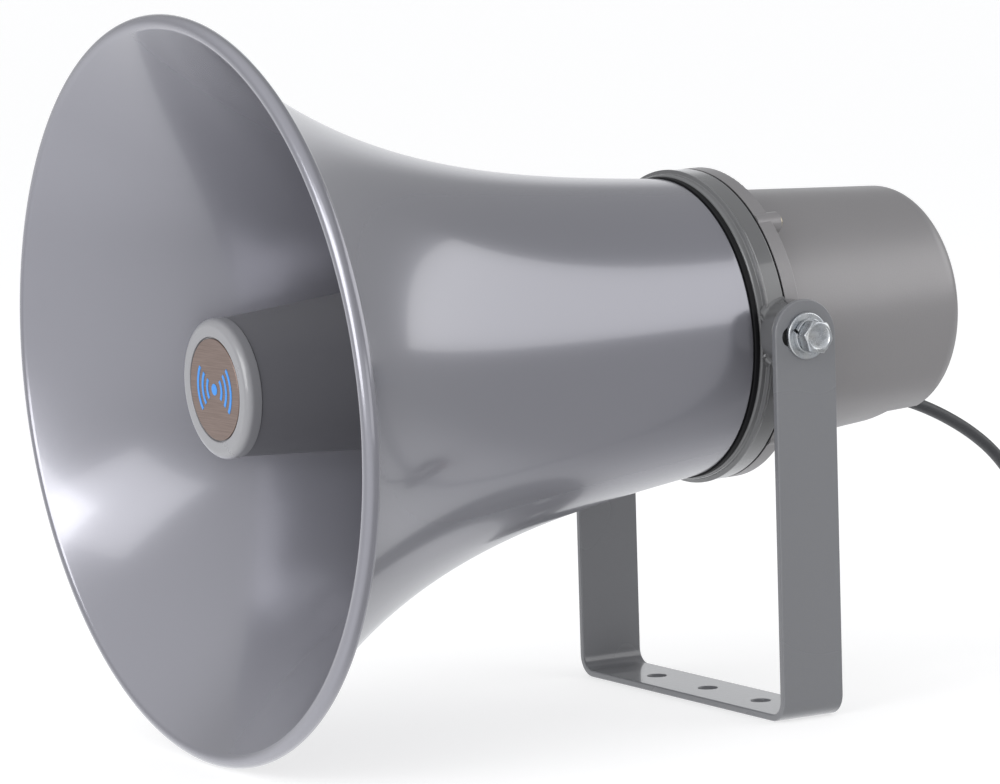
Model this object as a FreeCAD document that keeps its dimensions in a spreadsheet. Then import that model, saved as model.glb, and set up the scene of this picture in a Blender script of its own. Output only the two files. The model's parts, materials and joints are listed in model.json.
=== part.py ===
import FreeCAD, Part
import math
import os
import re

import Sketcher
from FreeCAD import Placement, Rotation, Vector

# Re-entrant horn loudspeaker on a U bracket, in millimetres.
#
# Frame: +Z up, the mouth faces -Y, the pivot bolts lie along X. The origin is the middle
# of the underside of the bracket's base strip.
#
# The horn's pieces are drawn in the horn's own frame: origin on the pivot axis, sound
# axis along Y, mouth at negative y. Each of them is then hung on the pivot, turned down
# about X until the rim of the mouth rests on the plane that the bracket stands on.

SIZES = {
    # bracket: flat steel strip bent into a U
    "pivot_height": 165,
    "bracket_width": 162,
    "strip_width": 31,
    "strip_thickness": 3,
    "bend_radius": 9.5,
    "base_hole_pitch": 41,
    "base_hole_radius": 4.25,
    "pivot_hole_radius": 4.1,
    "slot_reach": 7.5,
    # bell: spun aluminium
    "mouth_radius": 155,
    "mouth_reach": 256,
    "rim_bead": 3.5,
    "bell_wall": 1.2,
    "bell_back": 15.6,
    "neck_radius": 65.6,
    "flare_radius": 150,
    "flare_front": 254.7,
    "flare_straight_share": 0.28,
    "flare_power": 3,
    "bell_bore": 52,
    "bell_gasket_thickness": 2.4,
    # base casting: ring with lugs, web and hub
    "ring_radius": 68.5,
    "lip_radius": 67,
    "band_front": 9.2,
    "ridge_height": 0.5,
    "ring_bore": 50,
    "web_front": 8,
    "web_back": 2,
    "hub_front": 24,
    "hub_radius": 20.5,
    "driver_recess_radius": 47,
    "lug_radius": 15,
    "lug_root": 62,
    "lug_clearance": 0.8,
    # rear cover: moulded cup with a flange, four bosses and a cable channel
    "cover_gasket_thickness": 0.6,
    "flange_thickness": 7,
    "cover_front_radius": 58,
    "cover_back_radius": 51,
    "cover_length": 108,
    "cover_corner": 9,
    "cover_wall": 3,
    "cover_flat_drop": 47,
    "cover_flat_front": 82,
    "cover_slim_radius": 44.5,
    "boss_radius": 4.6,
    "boss_length": 12,
    "boss_circle": 64.5,
    "channel_radius": 6,
    "channel_front": 60,
    "channel_wall": 2.5,
    "lead_side": 8,
    "lead_drop": 41.5,
    "lead_radius": 2.9,
    "relief_end": 84,
    "lead_exit_run": 15,
    "relief_neck": 4.2,
    # screws
    "screw_radius": 2,
    "screw_clearance": 0.2,
    "thread_play": 0.03,
    "bell_screw_circle": 58.5,
    "driver_screw_circle": 42,
    # tone tube, reflector and nose
    "tube_throat_radius": 10.2,
    "tube_front": 212,
    "tube_front_radius": 18.2,
    "tube_root_radius": 14.5,
    "spider_radius": 16.4,
    "spider_back": 200,
    "spider_rib_width": 3,
    "reflector_front": 233,
    "reflector_front_radius": 28.7,
    "reflector_back": 45,
    "reflector_back_radius": 43,
    "reflector_wall": 1.6,
    "nose_front": 240,
    "nose_radius": 29.2,
    "badge_radius": 21.2,
    "badge_gap": 0.6,
    "badge_thickness": 1,
    "nose_boss_radius": 12,
    "nose_boss_back": 229,
    # compression driver
    "driver_gasket_thickness": 1,
    "driver_radius": 46,
    "driver_plate_back": 15,
    "dome_radius": 25,
    "dome_sphere": 43.2,
    "dome_center": 52.2,
    "dome_wall": 0.25,
    "surround_front": 17.1,
    "surround_thickness": 0.3,
    "plug_gap": 1.1,
    "plug_radius": 22,
    "clamp_ring_bore": 33.5,
    "top_plate_front": 18,
    "magnet_front": 25,
    "magnet_radius": 38,
    "magnet_bore": 29,
    "yoke_front": 43,
    "yoke_back": 50,
    "pole_radius": 24,
    "gap_radius": 26.2,
    "coil_front": 17.6,
    "coil_back": 29,
    "coil_radius": 25.4,
    "coil_bore": 24.6,
    # line transformer
    "core_front": 61.5,
    "core_depth": 18,
    "core_width": 54,
    "core_height": 45,
    "core_leg": 9,
    "window_height": 27,
    "winding_overhang": 8,
    "strap_thickness": 1.5,
    # pivot hardware: M8
    "bolt_radius": 4,
    "bolt_end": 69.6,
    "washer_radius": 10,
    "washer_thickness": 2,
    "spring_washer_radius": 7.4,
    "spring_washer_thickness": 2.6,
    "bolt_head_flats": 13,
    "bolt_head_height": 5.8,
    # put-away length of the lead
    "coil_turn_radius": 31,
    "coil_section": 11.6,
    "coil_side": 56.4,
    "coil_rear": 200.5,
    "tie_width": 4,
    "tie_thickness": 1,
    "tie_angle": 60,
    "coil_end_angle": -24,
    "core_radius": 1.1,
}

doc = FreeCAD.newDocument("horn_loudspeaker")
sheet = doc.addObject("Spreadsheet::Sheet", "Sheet")
for row, (name, size) in enumerate(SIZES.items(), start=1):
    sheet.set(f"A{row}", name)
    sheet.set(f"B{row}", str(size))
    sheet.setAlias(f"B{row}", name)
doc.recompute()

pieces = []

# The angle that brings the rim's bead down onto the plane under the bracket.
REST_TILT = (
    "(asin((pivot_height - rim_bead)"
    " / sqrt((mouth_radius - rim_bead) ^ 2 + (mouth_reach - rim_bead) ^ 2))"
    " - atan((mouth_radius - rim_bead) / (mouth_reach - rim_bead)))"
)


def formula(text):
    """A formula in the sheet's names, as FreeCAD's expressions want it."""
    return re.sub(r"[a-z_]+", lambda m: "Sheet." + m[0] if m[0] in SIZES else m[0], str(text))


def value(text):
    """What a formula in the sheet's names comes to."""
    result = sheet.evalExpression(formula(text))
    return float(getattr(result, "Value", result))


def bind(thing, setting, text):
    thing.setExpression(setting, formula(text))


def keep(piece, label):
    """Make an object one of the model's pieces, under its own name."""
    piece.Label = label
    pieces.append(piece)
    return piece


def hang(piece, side="0", drop="0"):
    """Put a piece on the pivot, at the horn's resting tilt.

    A piece drawn about its own axis goes that far aside of, and below, the sound axis.
    """
    piece.Placement = Placement(Vector(0, 0, 0), Rotation(Vector(1, 0, 0), 1))
    bind(piece, "Placement.Base.x", f"-({side})")
    bind(piece, "Placement.Base.y", f"({drop}) * sin({REST_TILT})")
    bind(piece, "Placement.Base.z", f"pivot_height - ({drop}) * cos({REST_TILT})")
    bind(piece, "Placement.Rotation.Angle", REST_TILT)
    return piece


# --- Sketches and PartDesign features -----------------------------------------------------


def origin_feature(body, role):
    return next(f for f in body.Origin.OriginFeatures if f.Role == role)


def new_sketch(body, role, offset="0"):
    """A sketch on one of the body's origin planes, moved along its normal."""
    sketch = body.newObject("Sketcher::SketchObject", body.Name + "_sketch")
    sketch.AttachmentSupport = [(origin_feature(body, role), "")]
    sketch.MapMode = "FlatFace"
    bind(sketch, "AttachmentOffset.Base.z", offset)
    return sketch


def fix_point(sketch, geometry, point, x, y):
    """Tie a point of the sketch to the origin with two named lengths."""
    for kind, axis, text in (("DistanceX", -2, x), ("DistanceY", -1, y)):
        if str(text) == "0":
            sketch.addConstraint(Sketcher.Constraint("PointOnObject", geometry, point, axis))
        else:
            rule = Sketcher.Constraint(kind, -1, 1, geometry, point, value(text))
            bind(sketch, f"Constraints[{sketch.addConstraint(rule)}]", text)


def add_outline(sketch, points):
    """A closed outline of straight lines through (x, y) points."""
    spots = [Vector(value(x), value(y), 0) for x, y in points]
    lines = [
        sketch.addGeometry(Part.LineSegment(spot, spots[(i + 1) % len(spots)]))
        for i, spot in enumerate(spots)
    ]
    for i, line in enumerate(lines):
        following = lines[(i + 1) % len(lines)]
        sketch.addConstraint(Sketcher.Constraint("Coincident", line, 2, following, 1))
    for line, (x, y) in zip(lines, points):
        fix_point(sketch, line, 1, x, y)


def add_circle(sketch, x, y, radius):
    spot = Vector(value(x), value(y), 0)
    circle = sketch.addGeometry(Part.Circle(spot, Vector(0, 0, 1), value(radius)))
    fix_point(sketch, circle, 3, x, y)
    rule = sketch.addConstraint(Sketcher.Constraint("Radius", circle, value(radius)))
    bind(sketch, f"Constraints[{rule}]", radius)


def revolve(body, *outlines, kind="PartDesign::Revolution"):
    """Turn (y, r) outlines about the horn's axis; a Groove takes them away instead."""
    sketch = new_sketch(body, "YZ_Plane")
    for outline in outlines:
        add_outline(sketch, outline)
    turn = body.newObject(kind, body.Name + "_turn")
    turn.Profile = (sketch, [""])
    turn.ReferenceAxis = (sketch, ["H_Axis"])
    turn.Angle = 360
    return turn


def turned(label, *outlines, on_horn=True):
    """A body turned about the horn's axis from (y, r) outlines."""
    body = doc.addObject("PartDesign::Body", label)
    revolve(body, *outlines)
    if on_horn:
        hang(body)
    return keep(body, label)


def pocket(body, sketch, length=None):
    """Cut a sketch out of the body: to a length, or through all, both ways."""
    cut = body.newObject("PartDesign::Pocket", body.Name + "_pocket")
    cut.Profile = (sketch, [""])
    if length is None:
        cut.Type = "ThroughAll"
        cut.Midplane = True
    else:
        bind(cut, "Length", length)
    return cut


def peg(body, x, y, z, radius, length, kind="PartDesign::SubtractiveCylinder"):
    """A cylinder along +Y from (x, y, z), added or taken away."""
    cylinder = body.newObject(kind, body.Name + "_peg")
    cylinder.Placement = Placement(Vector(0, 0, 0), Rotation(Vector(1, 0, 0), -90))
    for side, text in zip("xyz", (x, y, z)):
        bind(cylinder, f"Placement.Base.{side}", text)
    bind(cylinder, "Radius", radius)
    bind(cylinder, "Height", length)
    return cylinder


def block(body, low, high, kind="PartDesign::SubtractiveBox"):
    """A box between two corners, added or taken away."""
    box = body.newObject(kind, body.Name + "_block")
    for side, size, start, end in zip("xyz", ("Length", "Width", "Height"), low, high):
        bind(box, f"Placement.Base.{side}", start)
        bind(box, size, f"({end}) - ({start})")
    return box


def repeat(body, features, count):
    """Repeat features evenly about the horn's axis."""
    pattern = body.newObject("PartDesign::PolarPattern", body.Name + "_pattern")
    pattern.Originals = features
    pattern.Axis = (origin_feature(body, "Y_Axis"), [""])
    pattern.Angle = 360
    pattern.Occurrences = count
    body.Tip = pattern
    return pattern


def screw_holes(body, circle, angle, count, radius, start, end):
    """Holes along Y on a circle, the first at an angle from +Z towards +X."""
    hole = peg(
        body,
        f"({circle}) * sin({angle} deg)",
        start,
        f"({circle}) * cos({angle} deg)",
        radius,
        f"({end}) - ({start})",
    )
    return repeat(body, [hole], count)


def soften(body, radius, chosen, kind="PartDesign::Fillet"):
    """Round (or chamfer) the edges that the test chooses."""
    doc.recompute()
    base = body.Tip
    names = [f"Edge{i}" for i, edge in enumerate(base.Shape.Edges, start=1) if chosen(edge)]
    if not names:
        raise RuntimeError(f"{body.Name}: no edge was chosen")
    dressing = body.newObject(kind, body.Name + "_edge")
    dressing.Base = (base, names)
    bind(dressing, "Size" if kind.endswith("Chamfer") else "Radius", radius)
    return dressing


def rings(*wanted):
    """A test for round edges about the horn's axis at given (y, r) places."""
    places = [(value(y), value(r)) for y, r in wanted]

    def chosen(edge):
        curve = edge.Curve
        if not isinstance(curve, Part.Circle) or abs(curve.Axis.y) < 0.99:
            return False
        if math.hypot(curve.Center.x, curve.Center.z) > 0.01:
            return False
        return any(
            abs(curve.Center.y - y) < 0.01 and abs(curve.Radius - r) < 0.01 for y, r in places
        )

    return chosen


def straight_at(**place):
    """A test for straight edges whose middle has the given coordinates."""

    def chosen(edge):
        if not isinstance(edge.Curve, Part.Line):
            return False
        middle = edge.CenterOfMass
        return all(abs(abs(getattr(middle, k)) - abs(v)) < 0.01 for k, v in place.items())

    return chosen


# --- Part shapes --------------------------------------------------------------------------


def turned_shape(points):
    """Solid turned about Y from a closed (y, r) outline."""
    spots = [Vector(0, y, r) for y, r in points]
    face = Part.Face(Part.makePolygon(spots + spots[:1]))
    return face.revolve(Vector(0, 0, 0), Vector(0, 1, 0), 360)


def around_axis(shape, circle, angle, count):
    """Copies of a shape that stands on the Y axis, spread round a circle."""
    shape = shape.copy()
    shape.translate(Vector(0, 0, circle))
    copies = []
    for i in range(count):
        copy = shape.copy()
        copy.rotate(Vector(0, 0, 0), Vector(0, 1, 0), angle + 360 * i / count)
        copies.append(copy)
    return copies


def plain(label, shape, on_horn=True):
    """A piece whose shape comes straight from Part's functions."""
    piece = doc.addObject("Part::Feature", label)
    piece.Shape = shape
    if on_horn:
        hang(piece)
    return keep(piece, label)


def pan_screw(head_face, head_height, head_radius, tip, radius, ahead=True):
    """Pan-head screw along Y with a cross recess; its head bears on head_face."""
    way = 1 if ahead else -1
    crown = head_face + way * head_height
    shoulder = head_face + way * head_height * 0.55
    outline = [
        (tip, 0),
        (tip, radius * 0.7),
        (tip + way * radius, radius),
        (head_face, radius),
        (head_face, head_radius),
        (shoulder, head_radius * 0.96),
        (crown, head_radius * 0.55),
        (crown, 0),
    ]
    screw = turned_shape(outline)
    arm = head_radius * 1.1
    slit = arm * 0.22
    depth = head_height * 0.5
    for long_x, long_z in ((arm, slit), (slit, arm)):
        corner = Vector(-long_x / 2, crown - depth, -long_z / 2)
        screw = screw.cut(Part.makeBox(long_x, depth * 2, long_z, corner))
    return screw


def cord_path(points):
    """Straight runs joined by tangent arcs, each as large as its two runs allow."""
    edges = []
    start = points[0]
    for before, corner, after in zip(points, points[1:], points[2:]):
        back = before - corner
        ahead = after - corner
        turn = math.pi - back.getAngle(ahead)
        reach = 0.45 * min(back.Length, ahead.Length)
        radius = reach / math.tan(turn / 2)
        back.normalize()
        ahead.normalize()
        first = corner + back * reach
        last = corner + ahead * reach
        inward = (back + ahead).normalize()
        middle = corner + inward * (radius / math.cos(turn / 2) - radius)
        print(f"cord arc radius {radius:.1f} mm, run {(corner - before).Length:.1f} mm")
        edges.append(Part.LineSegment(start, first).toShape())
        edges.append(Part.Arc(first, middle, last).toShape())
        start = last
    edges.append(Part.LineSegment(start, points[-1]).toShape())
    return Part.Wire(edges)


def cord_tube(points, radius):
    path = cord_path(points)
    start = points[0]
    section = Part.Wire(Part.makeCircle(radius, start, points[1] - start))
    tube = path.makePipeShell([section], True, False)
    expected = math.pi * radius**2 * path.Length
    print(f"cord length {path.Length:.1f} mm, volume {tube.Volume / expected:.4f} of section x length")
    return tube


# --- Bracket ------------------------------------------------------------------------------


def make_bracket():
    """Strip bent into a U, with round leg tops, pivot slots and three base holes."""
    body = doc.addObject("PartDesign::Body", "u_bracket")
    side = "bracket_width / 2"
    inner = "(bracket_width / 2 - strip_thickness)"
    top = "pivot_height + strip_width / 2"
    sketch = new_sketch(body, "XZ_Plane")
    add_outline(
        sketch,
        [
            (f"-{side}", top),
            (f"-{side}", "0"),
            (side, "0"),
            (side, top),
            (inner, top),
            (inner, "strip_thickness"),
            (f"-{inner}", "strip_thickness"),
            (f"-{inner}", top),
        ],
    )
    strip = body.newObject("PartDesign::Pad", "u_bracket_strip")
    strip.Profile = (sketch, [""])
    strip.Midplane = True
    bind(strip, "Length", "strip_width")
    soften(body, "bend_radius", straight_at(x=value(side), y=0, z=0))
    inside_corner = straight_at(x=value(inner), y=0, z=value("strip_thickness"))
    soften(body, "bend_radius - strip_thickness", inside_corner)
    leg_corner = straight_at(y=value("strip_width / 2"), z=value(top))
    soften(body, "strip_width / 2 - 0.05", leg_corner)
    for outline in ("pin", "slot", "slot_end"):
        cut = new_sketch(body, "YZ_Plane")
        if outline == "pin":
            add_circle(cut, "0", "pivot_height", "pivot_hole_radius")
        elif outline == "slot_end":
            add_circle(cut, "-slot_reach", "pivot_height", "pivot_hole_radius")
        else:
            low = "pivot_height - pivot_hole_radius"
            high = "pivot_height + pivot_hole_radius"
            add_outline(cut, [("-slot_reach", low), ("0", low), ("0", high), ("-slot_reach", high)])
        pocket(body, cut)
    base_holes = new_sketch(body, "XY_Plane")
    for x in ("-base_hole_pitch", "0", "base_hole_pitch"):
        add_circle(base_holes, x, "0", "base_hole_radius")
    pocket(body, base_holes)
    return keep(body, "u_bracket")


# --- Bell ---------------------------------------------------------------------------------


def flare(distance):
    """Outer radius of the bell at a distance ahead of the pivot."""
    share = (distance - value("bell_back")) / (value("flare_front") - value("bell_back"))
    straight = value("flare_straight_share")
    rise = straight * share + (1 - straight) * share ** value("flare_power")
    return value("neck_radius") + (value("flare_radius") - value("neck_radius")) * rise


def flare_curve(start, end, inset):
    """Smooth curve along the flare, a wall's thickness inside it or not at all."""
    stations = 14
    spots = []
    for i in range(stations):
        distance = start + (end - start) * i / (stations - 1)
        spots.append(Vector(0, -distance, flare(distance) - inset))
    curve = Part.BSplineCurve()
    curve.interpolate(spots)
    return curve.toShape(), spots[0], spots[-1]


def make_bell():
    """Spun bell with a wired rim and an inward flange that six screws hold."""
    wall = value("bell_wall")
    back = value("bell_back")
    front = value("flare_front")
    outer, outer_back, outer_front = flare_curve(back, front, 0)
    inner, inner_back, inner_front = flare_curve(back + wall, front, wall)
    bore_front = Vector(0, -back - wall, value("bell_bore"))
    bore_back = Vector(0, -back, value("bell_bore"))
    edges = [
        outer,
        Part.makeLine(outer_front, inner_front),
        inner,
        Part.makeLine(inner_back, bore_front),
        Part.makeLine(bore_front, bore_back),
        Part.makeLine(bore_back, outer_back),
    ]
    face = Part.Face(Part.Wire(Part.__sortEdges__(edges)))
    shell = face.revolve(Vector(0, 0, 0), Vector(0, 1, 0), 360)
    bead = value("rim_bead")
    rim = Part.makeTorus(
        value("mouth_radius") - bead,
        bead,
        Vector(0, bead - value("mouth_reach"), 0),
        Vector(0, 1, 0),
    )
    bell = shell.fuse(rim).removeSplitter()
    drill = Part.makeCylinder(
        value("screw_radius + screw_clearance"),
        4 * wall,
        Vector(0, -back - 3 * wall, 0),
        Vector(0, 1, 0),
    )
    for hole in around_axis(drill, value("bell_screw_circle"), 0, 6):
        bell = bell.cut(hole)
    return plain("bell", bell)


def make_bell_gasket():
    body = turned(
        "bell_gasket",
        [
            ("-bell_back", "bell_bore"),
            ("-bell_back", "neck_radius + 0.7"),
            ("bell_gasket_thickness - bell_back", "neck_radius + 0.7"),
            ("bell_gasket_thickness - bell_back", "bell_bore"),
        ],
    )
    screw_holes(
        body,
        "bell_screw_circle",
        0,
        6,
        "screw_radius + screw_clearance",
        "-bell_back - 1",
        "bell_gasket_thickness - bell_back + 1",
    )


# --- Base casting -------------------------------------------------------------------------


def make_base_casting():
    """Ring, web and hub in one casting, with a tapped pivot lug on each side."""
    front = "(bell_gasket_thickness - bell_back)"
    body = turned(
        "base_casting",
        [
            ("-hub_front", "tube_root_radius + thread_play"),
            ("-hub_front", "hub_radius"),
            ("-web_front", "hub_radius + 2.5"),
            ("-web_front", "ring_bore - 6"),
            (front, "ring_bore"),
            (front, "lip_radius"),
            ("-band_front - 1.4", "lip_radius + 0.3"),
            ("-band_front - 0.9", "ring_radius + ridge_height"),
            ("-band_front", "ring_radius + ridge_height"),
            ("0.7 - band_front", "ring_radius"),
            ("0", "ring_radius"),
            ("0", "driver_recess_radius"),
            ("-web_back", "driver_recess_radius"),
            ("-web_back", "tube_root_radius + thread_play"),
        ],
    )
    soften(body, "0.5", rings(("0", "ring_radius")))
    face = "bracket_width / 2 - strip_thickness"
    lug_outline = new_sketch(body, "YZ_Plane", "lug_root")
    add_circle(lug_outline, "0", "0", "lug_radius")
    lug = body.newObject("PartDesign::Pad", "base_casting_lug")
    lug.Profile = (lug_outline, [""])
    bind(lug, "Length", f"{face} - lug_root")
    tapping = new_sketch(body, "YZ_Plane", face)
    add_circle(tapping, "0", "0", "bolt_radius + thread_play")
    thread = pocket(body, tapping, f"{face} - bolt_end + 0.2")
    mirror = body.newObject("PartDesign::Mirrored", "base_casting_mirror")
    mirror.Originals = [lug, thread]
    mirror.MirrorPlane = (origin_feature(body, "YZ_Plane"), [""])
    body.Tip = mirror
    over_cover = [
        ("0", "ring_bore - 10"),
        ("0", "ring_radius + lug_clearance"),
        ("lug_radius + 1", "ring_radius + lug_clearance"),
        ("lug_radius + 1", "ring_bore - 10"),
    ]
    over_bell = [
        ("-lug_radius - 1", "ring_bore - 10"),
        ("-lug_radius - 1", "lip_radius + lug_clearance"),
        (front, "lip_radius + lug_clearance"),
        (front, "ring_bore - 10"),
    ]
    revolve(body, over_cover, over_bell, kind="PartDesign::Groove")
    tapped = "screw_radius + thread_play"
    screw_holes(body, "boss_circle", 45, 4, tapped, "-9.5", "0.5")
    screw_holes(body, "bell_screw_circle", 0, 6, tapped, "-bell_back", "-3.5")
    screw_holes(body, "driver_screw_circle", 45, 4, tapped, "-web_back - 5.2", "0")


# --- Rear cover ---------------------------------------------------------------------------


def make_cover_gasket():
    body = turned(
        "cover_gasket",
        [
            ("0", "cover_front_radius - cover_wall + 0.5"),
            ("0", "ring_radius - 0.3"),
            ("cover_gasket_thickness", "ring_radius - 0.3"),
            ("cover_gasket_thickness", "cover_front_radius - cover_wall + 0.5"),
        ],
    )
    clearance = "screw_radius + screw_clearance"
    screw_holes(body, "boss_circle", 45, 4, clearance, "-1", "cover_gasket_thickness + 1")


def make_rear_cover():
    """Tapered cup: flange, four screw bosses, flat underside and cable channel."""
    outside = doc.addObject("PartDesign::Body", "cover_outside")
    flange_back = "cover_gasket_thickness + flange_thickness"
    revolve(
        outside,
        [
            ("cover_gasket_thickness", "0"),
            ("cover_gasket_thickness", "ring_radius"),
            (flange_back, "ring_radius"),
            (flange_back, "cover_front_radius"),
            ("cover_length", "cover_back_radius"),
            ("cover_length", "0"),
        ],
    )
    soften(outside, "cover_corner", rings(("cover_length", "cover_back_radius")))
    soften(outside, "0.6", rings((flange_back, "ring_radius")))
    boss = peg(
        outside,
        "boss_circle * sin(45 deg)",
        "cover_gasket_thickness",
        "boss_circle * cos(45 deg)",
        "boss_radius",
        "boss_length",
        kind="PartDesign::AdditiveCylinder",
    )
    repeat(outside, [boss], 4)
    screw_holes(
        outside,
        "boss_circle",
        45,
        4,
        "screw_radius + screw_clearance",
        "0",
        "boss_length + 2",
    )
    underside = new_sketch(outside, "YZ_Plane")
    add_outline(
        underside,
        [
            ("cover_flat_front - 7", "-cover_flat_drop - 7"),
            ("cover_flat_front", "-cover_flat_drop"),
            ("cover_length + 9", "-cover_flat_drop"),
            ("cover_length + 9", "-cover_flat_drop - 20"),
            ("cover_flat_front - 7", "-cover_flat_drop - 20"),
        ],
    )
    pocket(outside, underside)
    channel_length = "cover_length + 9 - channel_front"
    peg(outside, "-lead_side", "channel_front", "-lead_drop", "channel_radius", channel_length)
    block(
        outside,
        ("-lead_side - channel_radius", "channel_front", "-lead_drop - 20"),
        ("channel_radius - lead_side", "cover_length + 9", "-lead_drop"),
    )
    peg(outside, "-lead_side", "channel_front - 6", "-lead_drop", "relief_neck", "7")

    inside = doc.addObject("PartDesign::Body", "cover_inside")
    revolve(
        inside,
        [
            ("0", "0"),
            ("0", "cover_front_radius - cover_wall + 0.3"),
            ("cover_flat_front - 7", "cover_back_radius - 0.7"),
            ("cover_flat_front - 1.5", "cover_slim_radius"),
            ("cover_length - 2.5", "cover_slim_radius"),
            ("cover_length - 2.5", "0"),
        ],
    )
    soften(inside, "4", rings(("cover_length - 2.5", "cover_slim_radius")))
    block(
        inside,
        (
            "-lead_side - channel_radius - channel_wall",
            "channel_front - cover_wall",
            "-lead_drop - 20",
        ),
        (
            "channel_radius + channel_wall - lead_side",
            "cover_length",
            "channel_radius + channel_wall - lead_drop",
        ),
    )
    cover = doc.addObject("Part::Cut", "rear_cover")
    cover.Base = outside
    cover.Tool = inside
    hang(cover)
    return keep(cover, "rear_cover")


def make_strain_relief():
    """Rubber grommet clipped through the wall, tapering along the lead."""
    body = doc.addObject("PartDesign::Body", "strain_relief")
    wall_front = "(channel_front - cover_wall)"
    revolve(
        body,
        [
            (f"{wall_front} - 1.8", "0"),
            (f"{wall_front} - 1.8", "relief_neck + 1.1"),
            (wall_front, "relief_neck + 1.1"),
            (wall_front, "relief_neck"),
            ("channel_front", "relief_neck"),
            ("channel_front", "channel_radius - 0.6"),
            ("channel_front + 1.5", "channel_radius - 0.6"),
            ("channel_front + 2", "relief_neck + 0.5"),
            ("relief_end", "lead_radius + 0.8"),
            ("relief_end", "0"),
        ],
    )
    hang(body, side="lead_side", drop="lead_drop")
    return keep(body, "strain_relief")


def horn_spot(x, y, z):
    """A point of the horn's frame, in the model's frame at rest."""
    turn = Rotation(Vector(1, 0, 0), value(REST_TILT))
    return Vector(0, 0, value("pivot_height")) + turn.multVec(Vector(x, y, z))


# --- Tone tube, reflector and nose --------------------------------------------------------


def make_tone_tube():
    turned(
        "tone_tube",
        [
            ("-web_back", "tube_throat_radius"),
            ("2 - spider_back", "spider_radius - 1.4"),
            ("2 - spider_back", "spider_radius + 0.03"),
            ("-tube_front", "spider_radius + 0.03"),
            ("-tube_front", "tube_front_radius"),
            ("-hub_front", "tube_root_radius + 1.5"),
            ("-hub_front", "tube_root_radius"),
            ("-web_back", "tube_root_radius"),
        ],
    )


def make_reflector_spider():
    """Hub on three ribs inside the tube's front end; the nose screw threads into it."""
    body = turned(
        "reflector_spider",
        [
            ("-nose_boss_back", "screw_radius + 0.5 + thread_play"),
            ("-nose_boss_back", "7"),
            ("-spider_back", "6"),
            ("-spider_back", "screw_radius + 0.5 + thread_play"),
        ],
        [
            ("-tube_front", "spider_radius - 1.4"),
            ("-tube_front", "spider_radius"),
            ("-spider_back", "spider_radius"),
            ("-spider_back", "spider_radius - 1.4"),
        ],
    )
    rib = block(
        body,
        ("-spider_rib_width / 2", "2 - tube_front", "5"),
        ("spider_rib_width / 2", "-spider_back", "spider_radius - 0.7"),
        kind="PartDesign::AdditiveBox",
    )
    repeat(body, [rib], 3)


def make_reflector():
    turned(
        "reflector",
        [
            ("-reflector_front", "reflector_front_radius"),
            ("-reflector_back", "reflector_back_radius"),
            ("-reflector_back", "reflector_back_radius - reflector_wall"),
            ("-reflector_front", "reflector_front_radius - reflector_wall"),
        ],
    )


def make_nose_cap():
    """Cap that plugs the reflector; its front has a recess for the badge."""
    face = "badge_thickness - nose_front"
    spigot = "(reflector_front_radius - reflector_wall - 0.03)"
    body = turned(
        "nose_cap",
        [
            ("5.2 - nose_front", "0"),
            ("5.2 - nose_front", "screw_radius + 3.1"),
            (face, "screw_radius + 3.1"),
            (face, "badge_radius + badge_gap"),
            ("-nose_front", "badge_radius + badge_gap"),
            ("-nose_front", "nose_radius"),
            ("-reflector_front", "nose_radius"),
            ("-reflector_front", spigot),
            ("7 - reflector_front", spigot),
            ("7 - reflector_front", f"{spigot} - 2"),
            ("-reflector_front - 1.5", f"{spigot} - 2"),
            ("-reflector_front - 1.5", "nose_boss_radius"),
            ("-nose_boss_back", "nose_boss_radius"),
            ("-nose_boss_back", "0"),
        ],
    )
    soften(body, "4.4", rings(("-nose_front", "nose_radius")))
    peg(body, "0", "-nose_front", "0", "screw_radius + 0.7", "nose_front - nose_boss_back + 1")


def make_badge():
    body = turned(
        "badge",
        [
            ("0.1 - nose_front", "0"),
            ("0.1 - nose_front", "badge_radius"),
            ("badge_thickness - nose_front", "badge_radius"),
            ("badge_thickness - nose_front", "0"),
        ],
    )
    soften(body, "0.25", rings(("0.1 - nose_front", "badge_radius")))


def make_nose_screw():
    radius = value("screw_radius + 0.5")
    head_radius = value("screw_radius + 2.8")
    bearing = value("5.2 - nose_front")
    tip = value("-spider_back - 4")
    plain("nose_screw", pan_screw(bearing, 3.2, head_radius, tip, radius, ahead=False))


# --- Compression driver -------------------------------------------------------------------


def throat_face():
    """Outline of the front plate: a horn-shaped passage from the tube to the diaphragm."""
    front = "(driver_gasket_thickness - web_back)"
    return [
        (front, "tube_throat_radius"),
        ("5", "tube_throat_radius + 1.4"),
        ("12", "plug_radius + 3.5"),
        ("13.5", "clamp_ring_bore"),
        ("driver_plate_back", "clamp_ring_bore"),
        ("driver_plate_back", "driver_radius"),
        (front, "driver_radius"),
    ]


def make_driver_gasket():
    turned(
        "driver_gasket",
        [
            ("-web_back", "tube_throat_radius + 0.5"),
            ("-web_back", "30"),
            ("driver_gasket_thickness - web_back", "30"),
            ("driver_gasket_thickness - web_back", "tube_throat_radius + 0.5"),
        ],
    )


def make_driver_front_plate():
    body = turned("driver_front_plate", throat_face())
    clearance = "screw_radius + screw_clearance"
    screw_holes(body, "driver_screw_circle", 45, 4, clearance, "-web_back", "driver_plate_back + 1")


def sphere_y(radius, distance):
    """y of a sphere about the dome's centre, ahead of it, at a distance from the axis."""
    return value("dome_center") - math.sqrt(radius**2 - distance**2)


def dome_arc(radius, reach):
    """Arc of that sphere from a distance off the axis to the axis, in the YZ plane."""
    spots = [Vector(0, sphere_y(radius, r), r) for r in (reach, reach / 2, 0)]
    return Part.Arc(*spots).toShape(), spots[0], spots[-1]


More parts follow.
